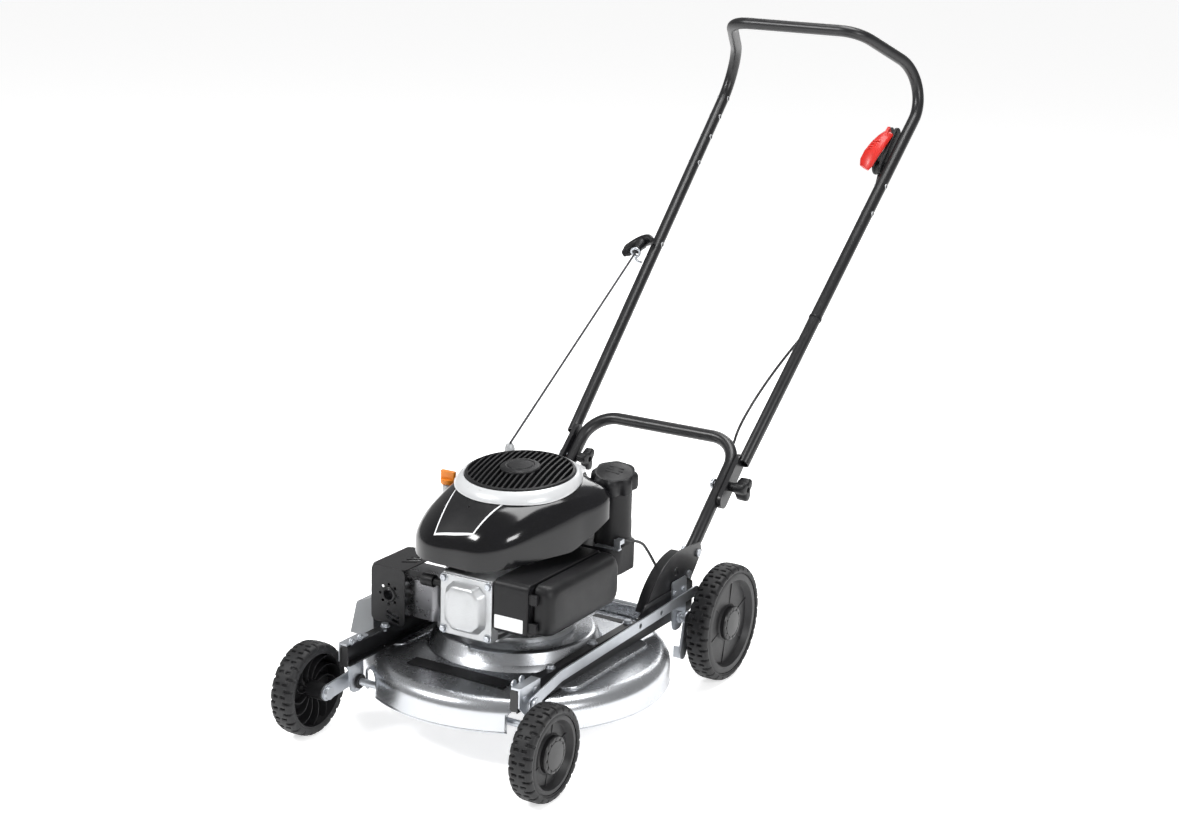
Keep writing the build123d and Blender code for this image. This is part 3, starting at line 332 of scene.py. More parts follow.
def tyre_section(wheel_r, seat_r):
    """(radius, distance from the inner face) round a tyre with round shoulders."""
    section = [(seat_r, 0.6), (seat_r + 3, 0.2), (wheel_r - 9, 0.0)]
    for k in range(7):
        a = radians(90 * k / 6)
        section.append((wheel_r - SHOULDER_R + 7.2 * sin(a), SHOULDER_R - SHOULDER_R * cos(a)))
    for k in range(1, 30):
        x = SHOULDER_R + 24 * k / 30
        section.append((wheel_r - 0.8 + 0.8 * sin(pi * x / WHEEL_W), x))
    for k in range(7):
        a = radians(90 * k / 6)
        section.append((wheel_r - SHOULDER_R + 7.2 * cos(a), 32 + SHOULDER_R * sin(a)))
    return section + [(wheel_r - 9, 40.0), (seat_r + 3, 39.8), (seat_r + 2, 38.6), (seat_r, 38.8)]


def slot_depth(phase, x, radius, wheel_r):
    """Depth of the tread's slots: long ones on the shoulders, and others between them half a pitch on."""
    half = abs(x - WHEEL_W / 2)
    near = min(phase, 1 - phase)
    far = abs(phase - 0.5)
    shoulder = smooth_step(half, 6.5, 8) * (1 - smooth_step(near, 0.07, 0.14))
    middle = smooth_step(half, 1.5, 3.0) * (1 - smooth_step(half, 10.5, 12))
    middle *= 1 - smooth_step(far, 0.07, 0.14)
    on_tread = smooth_step(radius, wheel_r - 9, wheel_r - 6)
    return SLOT_DEPTH * max(shoulder, middle) * on_tread


def add_tyre(name, origin, axis, wheel_r, seat_r, blocks):
    section = tyre_section(wheel_r, seat_r)
    steps = blocks * PITCH_STEPS
    verts = []
    for radius, x in section:
        for k in range(steps):
            depth = slot_depth(k / PITCH_STEPS % 1.0, x, radius, wheel_r)
            a = 2 * pi * k / steps
            spoke = YA * cos(a) + ZA * sin(a)
            verts.append(origin + (axis * x + spoke * (radius - depth)) / 1000)
    faces = grid(len(section), steps)
    piece(f"{name}_tread", verts, faces, TYRE, f"{name}_wheel", (f"{name}_tyre",), sharp=50)


def add_wheel_centre(name, origin, axis, side, boss, seat_r, dish_r):
    """Outer ring, deep dish, web and hub boss, with curved ribs inside and low ones outside."""
    turned = [
        (6.5, boss), (14, boss), (14, 20), (17, 24), (seat_r - 5, 24), (seat_r - 2.4, 20),
        (seat_r - 2.4, 1), (seat_r - 0.3, 0.5), (seat_r - 0.3, 37.6), (seat_r - 2, 38.4),
        (dish_r + 1.5, 38.4), (dish_r, 37), (dish_r - 3, 29), (dish_r - 5, 27.6), (33, 28.4),
        (31, 30), (29, 31), (6.5, 31),
    ]
    parts = [lathe(turned, origin, axis, YA)]
    for number in range(RIBS):
        rib = []
        for k in range(9):
            t = k / 8
            radius = 15 + (seat_r - 17.6) * t
            a = radians(360 / RIBS * number) + side * 0.62 * t * t
            spoke = YA * cos(a) + ZA * sin(a)
            thick = axis.cross(spoke) * 0.65
            edge_x = 6 + 7 * (1 - t)
            for x, sign in ((edge_x, -1), (edge_x, 1), (24.5, 1), (24.5, -1)):
                rib.append(origin + (axis * x + spoke * radius + thick * sign) / 1000)
        parts.append((rib, grid(9, 4)))
    flat = [(28, -1), (dish_r - 2, -1), (dish_r - 2, 1), (28, 1)]
    for number in range(SPOKES):
        a = radians(360 / SPOKES * number + 20)
        spoke = YA * cos(a) + ZA * sin(a)
        parts.append(slab(flat, origin + axis * 0.0275, spoke, axis.cross(spoke), 1.6))
    piece(f"{name}_centre", *joined(parts), RIM, f"{name}_wheel", (f"{name}_rim",), sharp=35)


def add_hub_cap(name, origin, axis):
    """Stepped cap with small notches round its edge."""
    steps = 96
    dome = [(30, 30.5), (30, 37), (28.6, 39.0), (26.5, 39.8), (24.6, 39.8), (24.0, 39.2), (22.5, 39.2),
            (22.0, 39.9), (12, 40.6), (0.01, 40.8)]
    verts, faces = lathe(dome, origin, axis, YA, steps)
    for k in range(steps):
        if k % 8 < 2:
            for row in (3, 4, 5, 6):
                verts[row * steps + k] -= axis * 0.0011
    piece(f"{name}_cap", verts, faces, CAP, f"{name}_wheel", (f"{name}_hub_cap",), sharp=30)


for name, side, hub, track, wheel_r, seat_r, dish_r, blocks in CORNERS:
    inner_x = track - WHEEL_W / 2
    origin = at(side * inner_x, *hub)
    add_tyre(name, origin, XA * side, wheel_r, seat_r, blocks)
    add_wheel_centre(name, origin, XA * side, side, HUB_FACE_X - inner_x, seat_r, dish_r)
    add_hub_cap(name, origin, XA * side)

# ---------------------------------------------------------------- deck
DECK_R = 254.0
SKIRT_Z = 65.0
DECK_TOP = 118.0
PLINTH_R = 134.0
PLINTH_Z = 153.0
REAR_CUT = 193.0                    # flat rear, behind the wheelbase middle
DECK_STEPS = 240                    # mesh columns round the deck
SHEET = 0.002                       # thickness of the pressing, in metres


def arc_points(cx, cz, radius, start, end, count=10):
    """(radius, height) points along an arc, angles in degrees."""
    return [
        (cx + radius * cos(radians(start + (end - start) * k / count)),
         cz + radius * sin(radians(start + (end - start) * k / count)))
        for k in range(count + 1)
    ]


# outside of the pressing from the centre to the rolled lip, then back along the inside
outside = [(31, PLINTH_Z), (80, PLINTH_Z), *arc_points(PLINTH_R - 10, PLINTH_Z - 11, 11, 90, 40, 8)]
outside += arc_points(PLINTH_R + 16, DECK_TOP + 14.5, 12, 225, 268, 8)
outside += [(PLINTH_R + 40, DECK_TOP + 2.2), *arc_points(DECK_R - 24, DECK_TOP - 24, 24, 89, 0, 18)]
outside += [(DECK_R, DECK_TOP - 34), (DECK_R, SKIRT_Z + 5)]
outside += arc_points(DECK_R - 2, SKIRT_Z + 1.5, 2.4, 40, -180, 10)
inside = [(DECK_R - 4, SKIRT_Z + 6), *arc_points(DECK_R - 24, DECK_TOP - 24, 21, 0, 89, 12)]
inside += [(PLINTH_R + 30, DECK_TOP - 0.6), (PLINTH_R + 12, DECK_TOP + 1), (PLINTH_R - 4, PLINTH_Z - 6)]
inside += [(PLINTH_R - 14, PLINTH_Z - 2.2), (31, PLINTH_Z - 2.2)]
profile = outside + inside
verts, faces = lathe(profile, at(0, ENGINE_Y, 0), ZA, XA, DECK_STEPS)
rear = (MID_Y + REAR_CUT) / 1000
for number, v in enumerate(verts):
    wall = SHEET if number // DECK_STEPS >= len(outside) else 0.0
    v.y = min(v.y, rear + SHEET - wall)
last = (len(profile) - 1) * DECK_STEPS
for k in range(DECK_STEPS):
    after = (k + 1) % DECK_STEPS
    faces.append((k + last, k, after, after + last))
# openings for the axle rod and under the chute
deck = piece("deck", verts, faces, SILVER, "chassis", ("deck_shell",), sharp=50)
cutters = [slab(rounded(26, 60, 12.9), at(side * 120 - 60, -236, 74.5), YA, ZA, 120) for side in (-1, 1)]
cutters.append(slab(rounded(104, 60, 1), at(-258, -95, 114), YA, ZA, 56))
tool = piece("deck_cutter", *joined(cutters), SILVER, "chassis")
bpy.context.view_layer.update()
cut = deck.modifiers.new("openings", "BOOLEAN")
cut.object = tool
cut.operation = "DIFFERENCE"
cut.solver = "EXACT"
cut_mesh = bpy.data.meshes.new_from_object(deck.evaluated_get(bpy.context.evaluated_depsgraph_get()))
deck.modifiers.clear()
deck.data = cut_mesh
bpy.data.objects.remove(tool)
# raised pads under the rails
for side in (-1, 1):
    pad = ring_stack(
        [(-3, rounded(50, 250, 24.5, 12)), (2.4, rounded(50, 250, 24.5, 12)),
         (3.6, rounded(48.6, 248.6, 24, 12)), (4.0, rounded(46, 246, 22.8, 12))],
        at(side * 164, ENGINE_Y - 4, DECK_TOP), XA, YA,
    )
    piece(f"deck_pad_{side}", *pad, SILVER, "chassis", sharp=50)


# ---------------------------------------------------------------- engine shroud
# outline of the shroud from above, (x, y)
PLAN = (
    (-118, -150), (-78, -190), (-20, -197), (44, -190), (100, -112), (125, -40), (137, 28),
    (114, 46), (78, 62), (66, 84), (0, 99), (-86, 76), (-126, 10), (-133, -70),
)
polar = sorted((atan2(y - ENGINE_Y, x), (x * x + (y - ENGINE_Y) ** 2) ** 0.5) for x, y in PLAN)
GRILLE_R = 91.0
LIFT = 9.0                          # height of the grille's seat over the CAD ring
TILT = 0.09                         # rise of the grille towards the rear


def shroud_reach(angle):
    """Outer radius of the shroud in a direction from the crankshaft axis."""
    count = len(polar)
    for k in range(count):
        a1, r1 = polar[k]
        a2, r2 = polar[(k + 1) % count]
        span = (a2 - a1) % (2 * pi)
        along = (angle - a1) % (2 * pi)
        if along <= span:
            r0, r3 = polar[k - 1][1], polar[(k + 2) % count][1]
            t = along / span
            bend = (r2 - r0) * t + (2 * r0 - 5 * r1 + 4 * r2 - r3) * t**2
            bend += (3 * r1 - r0 - 3 * r2 + r3) * t**3
            return r1 + bend / 2
    return polar[0][1]


def shroud_top(x, y):
    """Height of the shroud's upper surface: a cone that falls most towards the front and the right."""
    reach = (x * x + (y - ENGINE_Y) ** 2) ** 0.5
    angle = atan2(y - ENGINE_Y, x)
    t = (reach - 93) / max(20.0, shroud_reach(angle) - 93)
    t = min(1.15, max(0.0, t))
    weight = 0.5 - 0.5 * cos(angle - radians(35))
    return 390 + LIFT + TILT * (y - ENGINE_Y) - (14 + 44 * weight) * t**1.6


STEPS = 160                         # mesh columns round the shroud and its trim
SHROUD_MAX_R = 187.0
# (share of the reach, share of the height) from the lower lip over the top and in to the grille
LEVELS = ((1.0, 0.0), (1.0, 0.35), (0.998, 0.62), (0.99, 0.8), (0.965, 0.92), (0.93, 0.985), (0.89, 1.0),
          (0.8, 1.0), (0.68, 1.0), (0.5, 1.0), (0.3, 1.0), (0.12, 1.0), (0.0, 1.0), (0.0, 0.9))
verts = []
for out, lift in LEVELS:
    for k in range(STEPS):
        a = -pi + 2 * pi * k / STEPS
        edge_r = min(shroud_reach(a), SHROUD_MAX_R)
        if lift < 1.0 or out > 0.88:
            radius = edge_r * out if out > 0 else GRILLE_R
        else:
            radius = GRILLE_R + (edge_r * 0.89 - GRILLE_R) * out / 0.89
        x, y = radius * cos(a), ENGINE_Y + radius * sin(a)
        lip = 293 + 14 * smooth_step(x, 20, 120)
        lip += 38 * smooth_step(x, 60, 125) * smooth_step(y, -70, 30)
        top = shroud_top(x, y)
        verts.append(at(x, y, lip + (top - lip) * lift))
piece("shroud", verts, grid(len(LEVELS), STEPS), GLOSS, "chassis", ("blower_housing",), sharp=60)

# rope eyelet at the back of the shroud
eyelet = [(5.0, 384), (8.8, 384), (8.8, 414), (7.6, 420), (5.6, 424), (3.0, 422.5), (2.2, 414)]
piece("rope_eyelet", *lathe(eyelet, at(-78, 62, 0), ZA, XA, 40), EYELET, "chassis")


def on_shroud(x, y, rise):
    return at(x, y, shroud_top(x, y) + rise)


# blank panel: light outline round a dark field
corners = [Vector(p) for p in ((-72, -101), (38, -112), (15, -186), (-56, -190))]
middle = sum(corners, Vector((0, 0))) / 4
OUTLINE_W = 2.6
SIDE_STEPS = 12
RIM_STEPS = 4 * SIDE_STEPS
outer, inner = [], []
for k in range(4):
    for j in range(SIDE_STEPS):
        edge_point = corners[k].lerp(corners[(k + 1) % 4], j / SIDE_STEPS)
        outer.append(edge_point)
        inner.append(edge_point + (middle - edge_point).normalized() * OUTLINE_W)
verts = [on_shroud(p.x, p.y, 0.5) for p in outer] + [on_shroud(p.x, p.y, 0.5) for p in inner]
verts += [on_shroud(p.x, p.y, -0.6) for p in outer]
faces = grid(2, RIM_STEPS)
for k in range(RIM_STEPS):
    after = (k + 1) % RIM_STEPS
    faces.append((k, after, 2 * RIM_STEPS + after, 2 * RIM_STEPS + k))
piece("panel_outline", verts, faces, WHITE, "chassis")
verts = []
for ring in range(7):
    for p in inner:
        q = p.lerp(middle, ring / 6.2)
        verts.append(on_shroud(q.x, q.y, 0.25))
piece("panel_field", verts, grid(7, RIM_STEPS), MATT, "chassis")

# trim ring, thicker at the front and drawn out to a point at the left rear
verts = []
# (radius, height) of the first three rows; the fourth's radius is worked out, and the last three are
# shares of the outer radius that follow the shroud's surface
TRIM_ROWS = ((90.6, 386), (90.6, 402.5), (92.5, 404), (0, 403), (1, 396), (1, 388), (0.96, 385))
for number, (reach, height) in enumerate(TRIM_ROWS):
    for k in range(STEPS):
        a = -pi + 2 * pi * k / STEPS
        front = 0.5 - 0.5 * sin(a)
        tip = max(0.0, 1 - abs(a - radians(58)) / radians(24)) ** 2
        outer_r = 99 + 9 * front + 20 * tip
        tilt = TILT * GRILLE_R * sin(a) + LIFT
        radius = reach
        if number == 3:
            radius = 95 + 3.5 * front + 7 * tip
        if number > 3:
            radius = outer_r * reach
        fall = 11 * tip if number > 2 else 3 * tip
        if number > 3:
            surface = shroud_top(radius * cos(a), ENGINE_Y + radius * sin(a))
            height_here = surface + (6.5, 1.5, -2.0)[number - 4]
        else:
            height_here = height - fall * 0.5 + tilt - (3 * front if number == 3 else 0)
        verts.append(at(radius * cos(a), ENGINE_Y + radius * sin(a), height_here))
piece("trim", verts, grid(len(TRIM_ROWS), STEPS), LIGHT, "chassis", ("shroud_trim_ring",), sharp=50)

# grille: domed slats inside a rim, over a centre boss
CRANK = at(0, ENGINE_Y, 0)
SLAT_PITCH = 9.6
SLAT_REACH = 86.0
grille_rim = [(90.2, 388), (90.2, 403), (88.8, 406), (85.5, 407), (84.5, 404), (84.5, 390)]
parts = [lathe(grille_rim, CRANK, ZA, XA, 120)]
parts.append(lathe([(SLAT_REACH, 389), (0.01, 389)], CRANK, ZA, XA, 60))
slant = radians(12)
for number in range(-8, 9):
    offset = number * SLAT_PITCH
    reach = (SLAT_REACH**2 - offset**2) ** 0.5
    bar = []
    for k in range(25):
        along = -reach + 2 * reach * k / 24
        for across, drop in ((-1.7, 0), (1.7, 0), (1.2, 9), (-1.2, 9)):
            x, y = offset + across, along
            dome = 411.5 - 5.5 * (x * x + y * y) / SLAT_REACH**2
            px, py = x * cos(slant) - y * sin(slant), x * sin(slant) + y * cos(slant)
            bar.append(at(px, ENGINE_Y + py, dome - drop))
    parts.append((bar, grid(25, 4) + [(0, 1, 2, 3), (96, 97, 98, 99)]))
boss = [(33, 404), (33, 411.5), (31, 413.4), (24, 414.6), (23, 413.8), (21, 413.9), (20, 415.2),
        (8, 416.4), (0.01, 416.6)]
parts.append(lathe(boss, CRANK, ZA, XA, 64))
verts, faces = joined(parts)
for v in verts:
    v.z += TILT * (v.y - (MID_Y + ENGINE_Y) / 1000) + LIFT / 1000
piece("grille", verts, faces, MATT, "chassis", ("starter_grille",), bevel=0.0004)

# ---------------------------------------------------------------- engine front and sides
def octagon(half_w, half_h, cut, cx=0.0, cy=0.0):
    """Octagon with the same number of points on every side."""
    corner = [
        (half_w, half_h - cut), (half_w - cut, half_h), (cut - half_w, half_h), (-half_w, half_h - cut),
        (-half_w, cut - half_h), (cut - half_w, -half_h), (half_w - cut, -half_h), (half_w, cut - half_h),
    ]
    points = []
    for k in range(8):
        (x1, y1), (x2, y2) = corner[k - 1], corner[k]
        for j in range(5):
            t = (j + 0.5) / 5
            points.append((cx + x1 + (x2 - x1) * t, cy + y1 + (y2 - y1) * t))
    return points


# rocker cover: flanged plate with an octagonal dome, held by four flange bolts
COVER = at(13, -196, 233)
plate = ring_stack(
    [(0, rounded(96, 98, 9)), (3.2, rounded(96, 98, 9)), (4, rounded(94.4, 96.4, 8.4))],
    COVER, XA, ZA,
)
dome = ring_stack(
    [(3, octagon(37.5, 41, 14)), (6, octagon(36.8, 40.3, 14)), (8.5, octagon(35, 38.5, 14)),
     (14, octagon(33, 36.5, 14)), (16.6, octagon(31, 34.5, 13)), (17.8, octagon(28, 31.5, 12)),
     (18.2, octagon(23, 26, 10))],
    COVER, XA, ZA,
)
bolt_flange = [(3, 3.6), (7.2, 3.6), (7.2, 4.6), (5.6, 5.4), (5.6, 4.4)]
bolt_hex = [(5.4, 4.4), (5.4, 8.6), (4.7, 9.2), (2.6, 9.2), (2.2, 8.4), (0.01, 8.2)]
bolts = []
for side in (-1, 1):
    for level in (-1, 1):
        spot = COVER + (XA * 41.5 * side + ZA * 42.5 * level) / 1000
        bolts.append(lathe(bolt_flange, spot, -YA, XA, 36))
        bolts.append(lathe(bolt_hex, spot, -YA, XA, 6))
piece("cover_bolts", *joined(bolts), ZINC, "chassis", ("rocker_cover_bolts",), bevel=0.0003, sharp=25)
piece("rocker_dome", *joined([plate, dome]), ALLOY, "chassis", ("rocker_cover",), bevel=0.0006, sharp=45)

# air filter: deep box, groove, and a rounded outer cover set a little back at the front
BOX = at(0, -86.5, 247.25)
base = ring_stack(
    [(62, rounded(215, 80, 9)), (64, rounded(224, 86.5, 11)), (124, rounded(224, 86.5, 11)),
     (125.8, rounded(221, 84, 10)), (125.8, rounded(209, 74, 9)), (118, rounded(208, 73, 9))],
    BOX - YA * 0.0005, YA, ZA,
)
piece("filter_box", *base, MATT, "chassis", ("air_filter_base",), bevel=0.0012)
cover = ring_stack(
    [(124, rounded(200, 70, 9, cx=7)), (128, rounded(208, 78, 11, cx=7)), (131, rounded(214, 84, 13, cx=7)),
     (146, rounded(213, 83, 15, cx=7)), (154, rounded(209, 79, 18, cx=7)), (159, rounded(201, 71, 19, cx=7)),
     (161.6, rounded(188, 58, 17, cx=7)), (162, rounded(120, 24, 8, cx=7))],
    BOX, YA, ZA,
)
latch = ring_stack(
    [(130, rounded(9, 24, 3)), (148, rounded(9, 24, 3)), (151, rounded(5, 18, 2))],
    at(0, 31.0, 250), YA, ZA,
)
parts = [cover, latch]
for height in (222, 268):
    hinge = [(120, rounded(7, 17, 2)), (140, rounded(7, 17, 2))]
    parts.append(ring_stack(hinge, at(0, -192.0, height), YA, ZA))
piece("filter_cover", *joined(parts), MATT, "air_filter_cover", ("air_filter_cover",), bevel=0.001)
sticker = slab(rounded(52, 22, 1.5, 4), at(92, -198.8, 223), XA, ZA, 0.5)
piece("blank_sticker", *sticker, WHITE, "chassis")

# muffler guard: folded sheet with a round port, a perforated disc and slots
def holed_plate(outline_w, outline_h, radius, holes, origin, u, v, thickness):
    """Rounded sheet with holes, each an outline of (u, v) points."""
    mesh = bpy.data.meshes.new("sheet")
    built = bmesh.new()
    loops = [rounded(outline_w, outline_h, radius)] + holes
    edges = []
    for loop in loops:
        ring = [built.verts.new(origin + (u * p + v * q) / 1000) for p, q in loop]
        edges += [built.edges.new((ring[k - 1], ring[k])) for k in range(len(ring))]
    bmesh.ops.triangle_fill(built, use_beauty=True, edges=edges)
    got = bmesh.ops.extrude_face_region(built, geom=list(built.faces))
    moved = [g for g in got["geom"] if isinstance(g, bmesh.types.BMVert)]
    bmesh.ops.translate(built, verts=moved, vec=u.cross(v) * thickness / 1000)
    built.to_mesh(mesh)
    built.free()
    verts = [tuple(p.co) for p in mesh.vertices]
    faces = [tuple(p.vertices) for p in mesh.polygons]
    bpy.data.meshes.remove(mesh)
    return [Vector(p) for p in verts], faces


def ring_of(radius, count, cx=0.0, cy=0.0):
    angles = [2 * pi * k / count for k in range(count)]
    return [(cx + radius * cos(a), cy + radius * sin(a)) for a in angles]


def slot_of(length, width, cx, cy, turn_deg=0.0):
    points = rounded(length, width, width / 2 - 0.01)
    a = radians(turn_deg)
    return [(cx + p * cos(a) - q * sin(a), cy + p * sin(a) + q * cos(a)) for p, q in points]


SHEET_T = 1.8
VENTS = 8                           # small holes round the port
holes = [ring_of(9, 24, 2, 2)]
for k in range(VENTS):
    a = 2 * pi * k / VENTS
    holes.append(ring_of(2.6, 12, 2 + 17 * cos(a), 2 + 17 * sin(a)))
holes += [slot_of(26, 5, 10, -31, -18), slot_of(26, 5, 10, -40, -18)]
front = holed_plate(66, 96, 10, holes, at(-160.5, -165, 207.5), XA, ZA, SHEET_T)
side_holes = [slot_of(74, 6, 0, -30 + 15 * k) for k in range(5)]
flank = holed_plate(104, 96, 10, side_holes, at(-194, -113.5, 207.5), YA, ZA, SHEET_T)
top_holes = [slot_of(26, 5, 14, 28 - 14 * k, 30) for k in range(4)]
roof = holed_plate(66, 104, 8, top_holes, at(-160.5, -113.5, 254.0), XA, YA, SHEET_T)
port = lathe([(9.0, 0), (9.0, 3), (11.5, 3.4), (13, 2), (13, 0)], at(-158.5, -166.0, 209.5), -YA, XA, 36)
piece("guard", *joined([front, flank, roof, port]), HEAT, "chassis", ("muffler_guard",), bevel=0.0005)

# fuel neck and lobed cap
NECK = at(115, 79, 0)
neck = [(24, 377), (26.5, 377.6), (29.4, 376), (29.4, 366), (29.3, 363), (29.3, 330), (30, 322),
        (30.2, 300), (32, 288)]
piece("fuel_neck", *lathe(neck, NECK, ZA, XA, 48), MATT, "chassis")
CAP_STEPS = 96
rows = ((22, 362), (25.4, 362), (25.4, 377.8), (34, 378.6), (37.5, 380), (38.8, 384), (39, 398), (38, 403),
        (35.6, 406), (32, 407.6), (30, 407.0), (28, 407.2), (20, 409.6), (0.01, 411.5))
verts = []
for number, (radius, height) in enumerate(rows):
    for k in range(CAP_STEPS):
        a = 2 * pi * k / CAP_STEPS
        lobe = 0.5 + 0.5 * cos(8 * a)
        squeeze = 6.4 * lobe**2 if 3 <= number <= 8 else 0
        verts.append(NECK + ((XA * cos(a) + YA * sin(a)) * (radius - squeeze) + ZA * height) / 1000)
parts = [(verts, grid(len(rows), CAP_STEPS))]
for k in range(3):
    bar = rounded(30 - 4 * abs(k - 1), 3, 1.4, 4)
    parts.append(slab(bar, NECK + (YA * (8 * (k - 1)) + ZA * 408.9) / 1000, XA, YA, 2.2))
CAP_SEAT = NECK + ZA * 0.368
lean = Matrix.Rotation(radians(13), 3, "X") @ Matrix.Rotation(radians(6), 3, "Y")
verts, faces = joined(parts)
verts = [CAP_SEAT + ZA * 0.003 + lean @ (v - CAP_SEAT) for v in verts]
piece("filler_cap", verts, faces, MATT, "fuel_cap", ("fuel_cap",), bevel=0.0004)

# ---------------------------------------------------------------- handle details
SLOPE = radians(42.3)
UP_SLOPE = Vector((0, cos(SLOPE), sin(SLOPE)))
ACROSS = Vector((0, -sin(SLOPE), cos(SLOPE)))
CLAMP = at(0, 391, 312)
UPPER_X0 = 174.3                    # tubes' distance from the middle at the clamp and at the bend
UPPER_X1 = 209.6
LENGTH = 965.0                      # from the clamp to the bend


def tube_at(fraction, side=1):
    """Centre of an upper tube at a fraction of the way from the clamp to the bend."""
    s = fraction * LENGTH
    x = UPPER_X0 + (UPPER_X1 - UPPER_X0) * (s - 50) / (LENGTH - 50)
    return CLAMP + UP_SLOPE * s / 1000 + XA * side * x / 1000


# three-lobed clamp knobs on a collar
KNOB_R = 21.6
LOBE_RISE = 5.2
# (share of the length, radius, how lobed) from the collar over the outside and back through the bore
KNOB_LEVELS = ((0, 8, 0), (0.28, 8.5, 0), (0.34, 13, 0.8), (0.42, 16.4, 1), (0.86, 17, 1), (0.96, 15.6, 1),
               (1.0, 13, 0.9), (1.0, 5.4, 0), (0.9, 4.2, 0), (0.0, 4.1, 0))
for name, x0, x1 in (("left_knob", 171.0, 205.0), ("right_knob", -139.0, -115.0)):
    verts = []
    for depth, radius, lobed in KNOB_LEVELS:
        middle = CLAMP + XA * (x0 + (x1 - x0) * depth) / 1000
        for k in range(72):
            a = 2 * pi * k / 72
            r = min(KNOB_R, radius + lobed * LOBE_RISE * cos(3 * (a - SLOPE)))
            verts.append(middle + (YA * cos(a) + ZA * sin(a)) * r / 1000)
    faces = grid(len(KNOB_LEVELS), 72, wrap_rows=True)
    piece(f"{name}_grip", verts, faces, MATT, name, (name,), sharp=45)

# holes with a grey rim where the tubes are drilled, each with a dark disc inside that is painted shade for
# the hole's depth, plus the cable tie
HOLES = ((-1, (0.51, 0.725, 0.795, 0.85, 0.90)), (1, (0.65, 0.72)))
hole_rim = [(5.0, 0), (5.0, 1.1), (4.3, 1.6), (3.5, 1.7), (3.3, 1.1)]
rims, hole_shade_discs = [], []
for side, spots in HOLES:
    for spot in spots:
        for face in (-1, 1):
            centre = tube_at(spot, side) + XA * face * 10.0 / 1000
            rims.append(lathe(hole_rim, centre, XA * face, YA, 24))
            # the dark disc a little below the rim is painted shade standing in for the inside of the hole
            hole_shade_discs.append(lathe([(3.4, 1.3), (0.01, 1.1)], centre, XA * face, YA, 24))
piece("tube_hole_rims", *joined(rims), EYELET, "upper_handle")
piece("tube_hole_shade", *joined(hole_shade_discs), HEAT, "upper_handle")
TIE = tube_at(0.39)
strap = lathe([(11.1, -2.2), (12.2, -2.2), (12.2, 2.2), (11.1, 2.2)], TIE, UP_SLOPE, XA, 40)
lock_spot = TIE - (XA * 14 + UP_SLOPE * 2.5 + ACROSS * 9) / 1000
lock = slab(rounded(6, 5, 1, 3), lock_spot, XA, ACROSS, 5)
piece("cable_tie", *joined([strap, lock]), MATT, "upper_handle")

# throttle: rounded shell round the tube side and a bent red lever with a ribbed thumb pad
PIVOT = tube_at(0.83) - XA * 24 / 1000


def housing_outline(grow):
    """Long rounded outline of the housing, made larger or smaller all round."""
    return rounded(110 + grow, 28 + grow, 13 + grow / 2, cx=-22)


inner_half = [(-9, housing_outline(-3)), (-7.5, housing_outline(-0.6)), (-3.6, housing_outline(0)),
              (-3.6, housing_outline(-6))]
outer_half = [(3.6, rounded(104, 22, 10, cx=-22)), (3.6, rounded(110, 28, 13, cx=-22)),
              (8.6, rounded(110, 28, 13, cx=-22)), (9.8, rounded(107, 25, 11, cx=-22))]
halves = [ring_stack(half, PIVOT, UP_SLOPE, ACROSS) for half in (inner_half, outer_half)]
piece("throttle_shell", *joined(halves), MATT, "upper_handle", ("throttle_housing",), bevel=0.0006)
# (along the tube, over it, sideways, half width, half thickness) of each section of the paddle
lever_path = (
    (12, 12.0, 0, 8.0, 3.5), (6, 17.0, -2, 11.0, 5.5), (-10, 20.0, -6, 14.0, 7.0),
    (-30, 20.0, -12, 16.5, 7.6), (-49, 17.5, -18, 17.5, 7.0), (-65, 13.0, -22, 17.0, 5.6),
    (-75, 9.0, -24, 12.0, 3.4),
)
OVAL = 16                           # mesh points round a section
verts = []
for along, rise, aside, wide, thick in lever_path:
    for k in range(OVAL):
        a = 2 * pi * k / OVAL
        spread = (XA * 0.9 - UP_SLOPE * 0.43) * wide * cos(a)
        lifted = ACROSS * (rise + thick * sin(a))
        verts.append(PIVOT + (UP_SLOPE * along + lifted + XA * aside + spread) / 1000)
last = (len(lever_path) - 1) * OVAL
faces = grid(len(lever_path), OVAL) + [tuple(range(OVAL)), tuple(range(last, last + OVAL))]
arm = slab([(4, 4), (20, 4), (22, 20), (2, 23)], PIVOT - XA * 0.0028, UP_SLOPE, ACROSS, -5.6)
disc = lathe([(4.2, -3), (13.6, -3), (13.6, 3), (4.2, 3)], PIVOT, XA, YA, 40)
ridges = []
for k in range(4):
    sideways = XA * (13 + 2.2 * k)
    spot = PIVOT + (UP_SLOPE * (-22 - 6 * k) + ACROSS * (28.0 - 0.9 * k) - sideways) / 1000
    ridges.append(slab(rounded(16, 1.6, 0.7, 3), spot, XA, UP_SLOPE, 0.9))
parts = [(verts, faces), disc, arm, *ridges]
piece("thumb_lever", *joined(parts), RED, "throttle_lever", ("throttle_lever",), bevel=0.0008)

# starter grip: T-shaped moulding with a waisted stem and drooping ends
RING = at(-215, 712, 631)
START = at(-78, 62, 424)
WAY = (RING - START).normalized()
stem = [(3, 8), (7.6, 8), (8.4, 10), (7.6, 15), (8.8, 24), (12, 36), (8, 43)]
parts = [lathe(stem, RING, WAY, XA, 36)]
raw = Vector((0.9, 0, 0.44))
bar_axis = (raw - WAY * raw.dot(WAY)).normalized()
deep = WAY.cross(bar_axis)
BAR_ROWS = 25
BAR_STEPS = 20
verts = []
for k in range(BAR_ROWS):
    h = -37 + 72 * k / (BAR_ROWS - 1)
    middle = h + 1
    droop = 0.019 * middle * middle
    end = 1 - smooth_step(abs(middle), 28, 36) * 0.45
    for j in range(BAR_STEPS):
        a = 2 * pi * j / BAR_STEPS
        reach = WAY * (46 - droop + 9.5 * end * sin(a)) + deep * 12 * end * cos(a)
        verts.append(RING + (bar_axis * h + reach) / 1000)
last = (BAR_ROWS - 1) * BAR_STEPS
ends = [tuple(range(BAR_STEPS)), tuple(range(last, last + BAR_STEPS))]
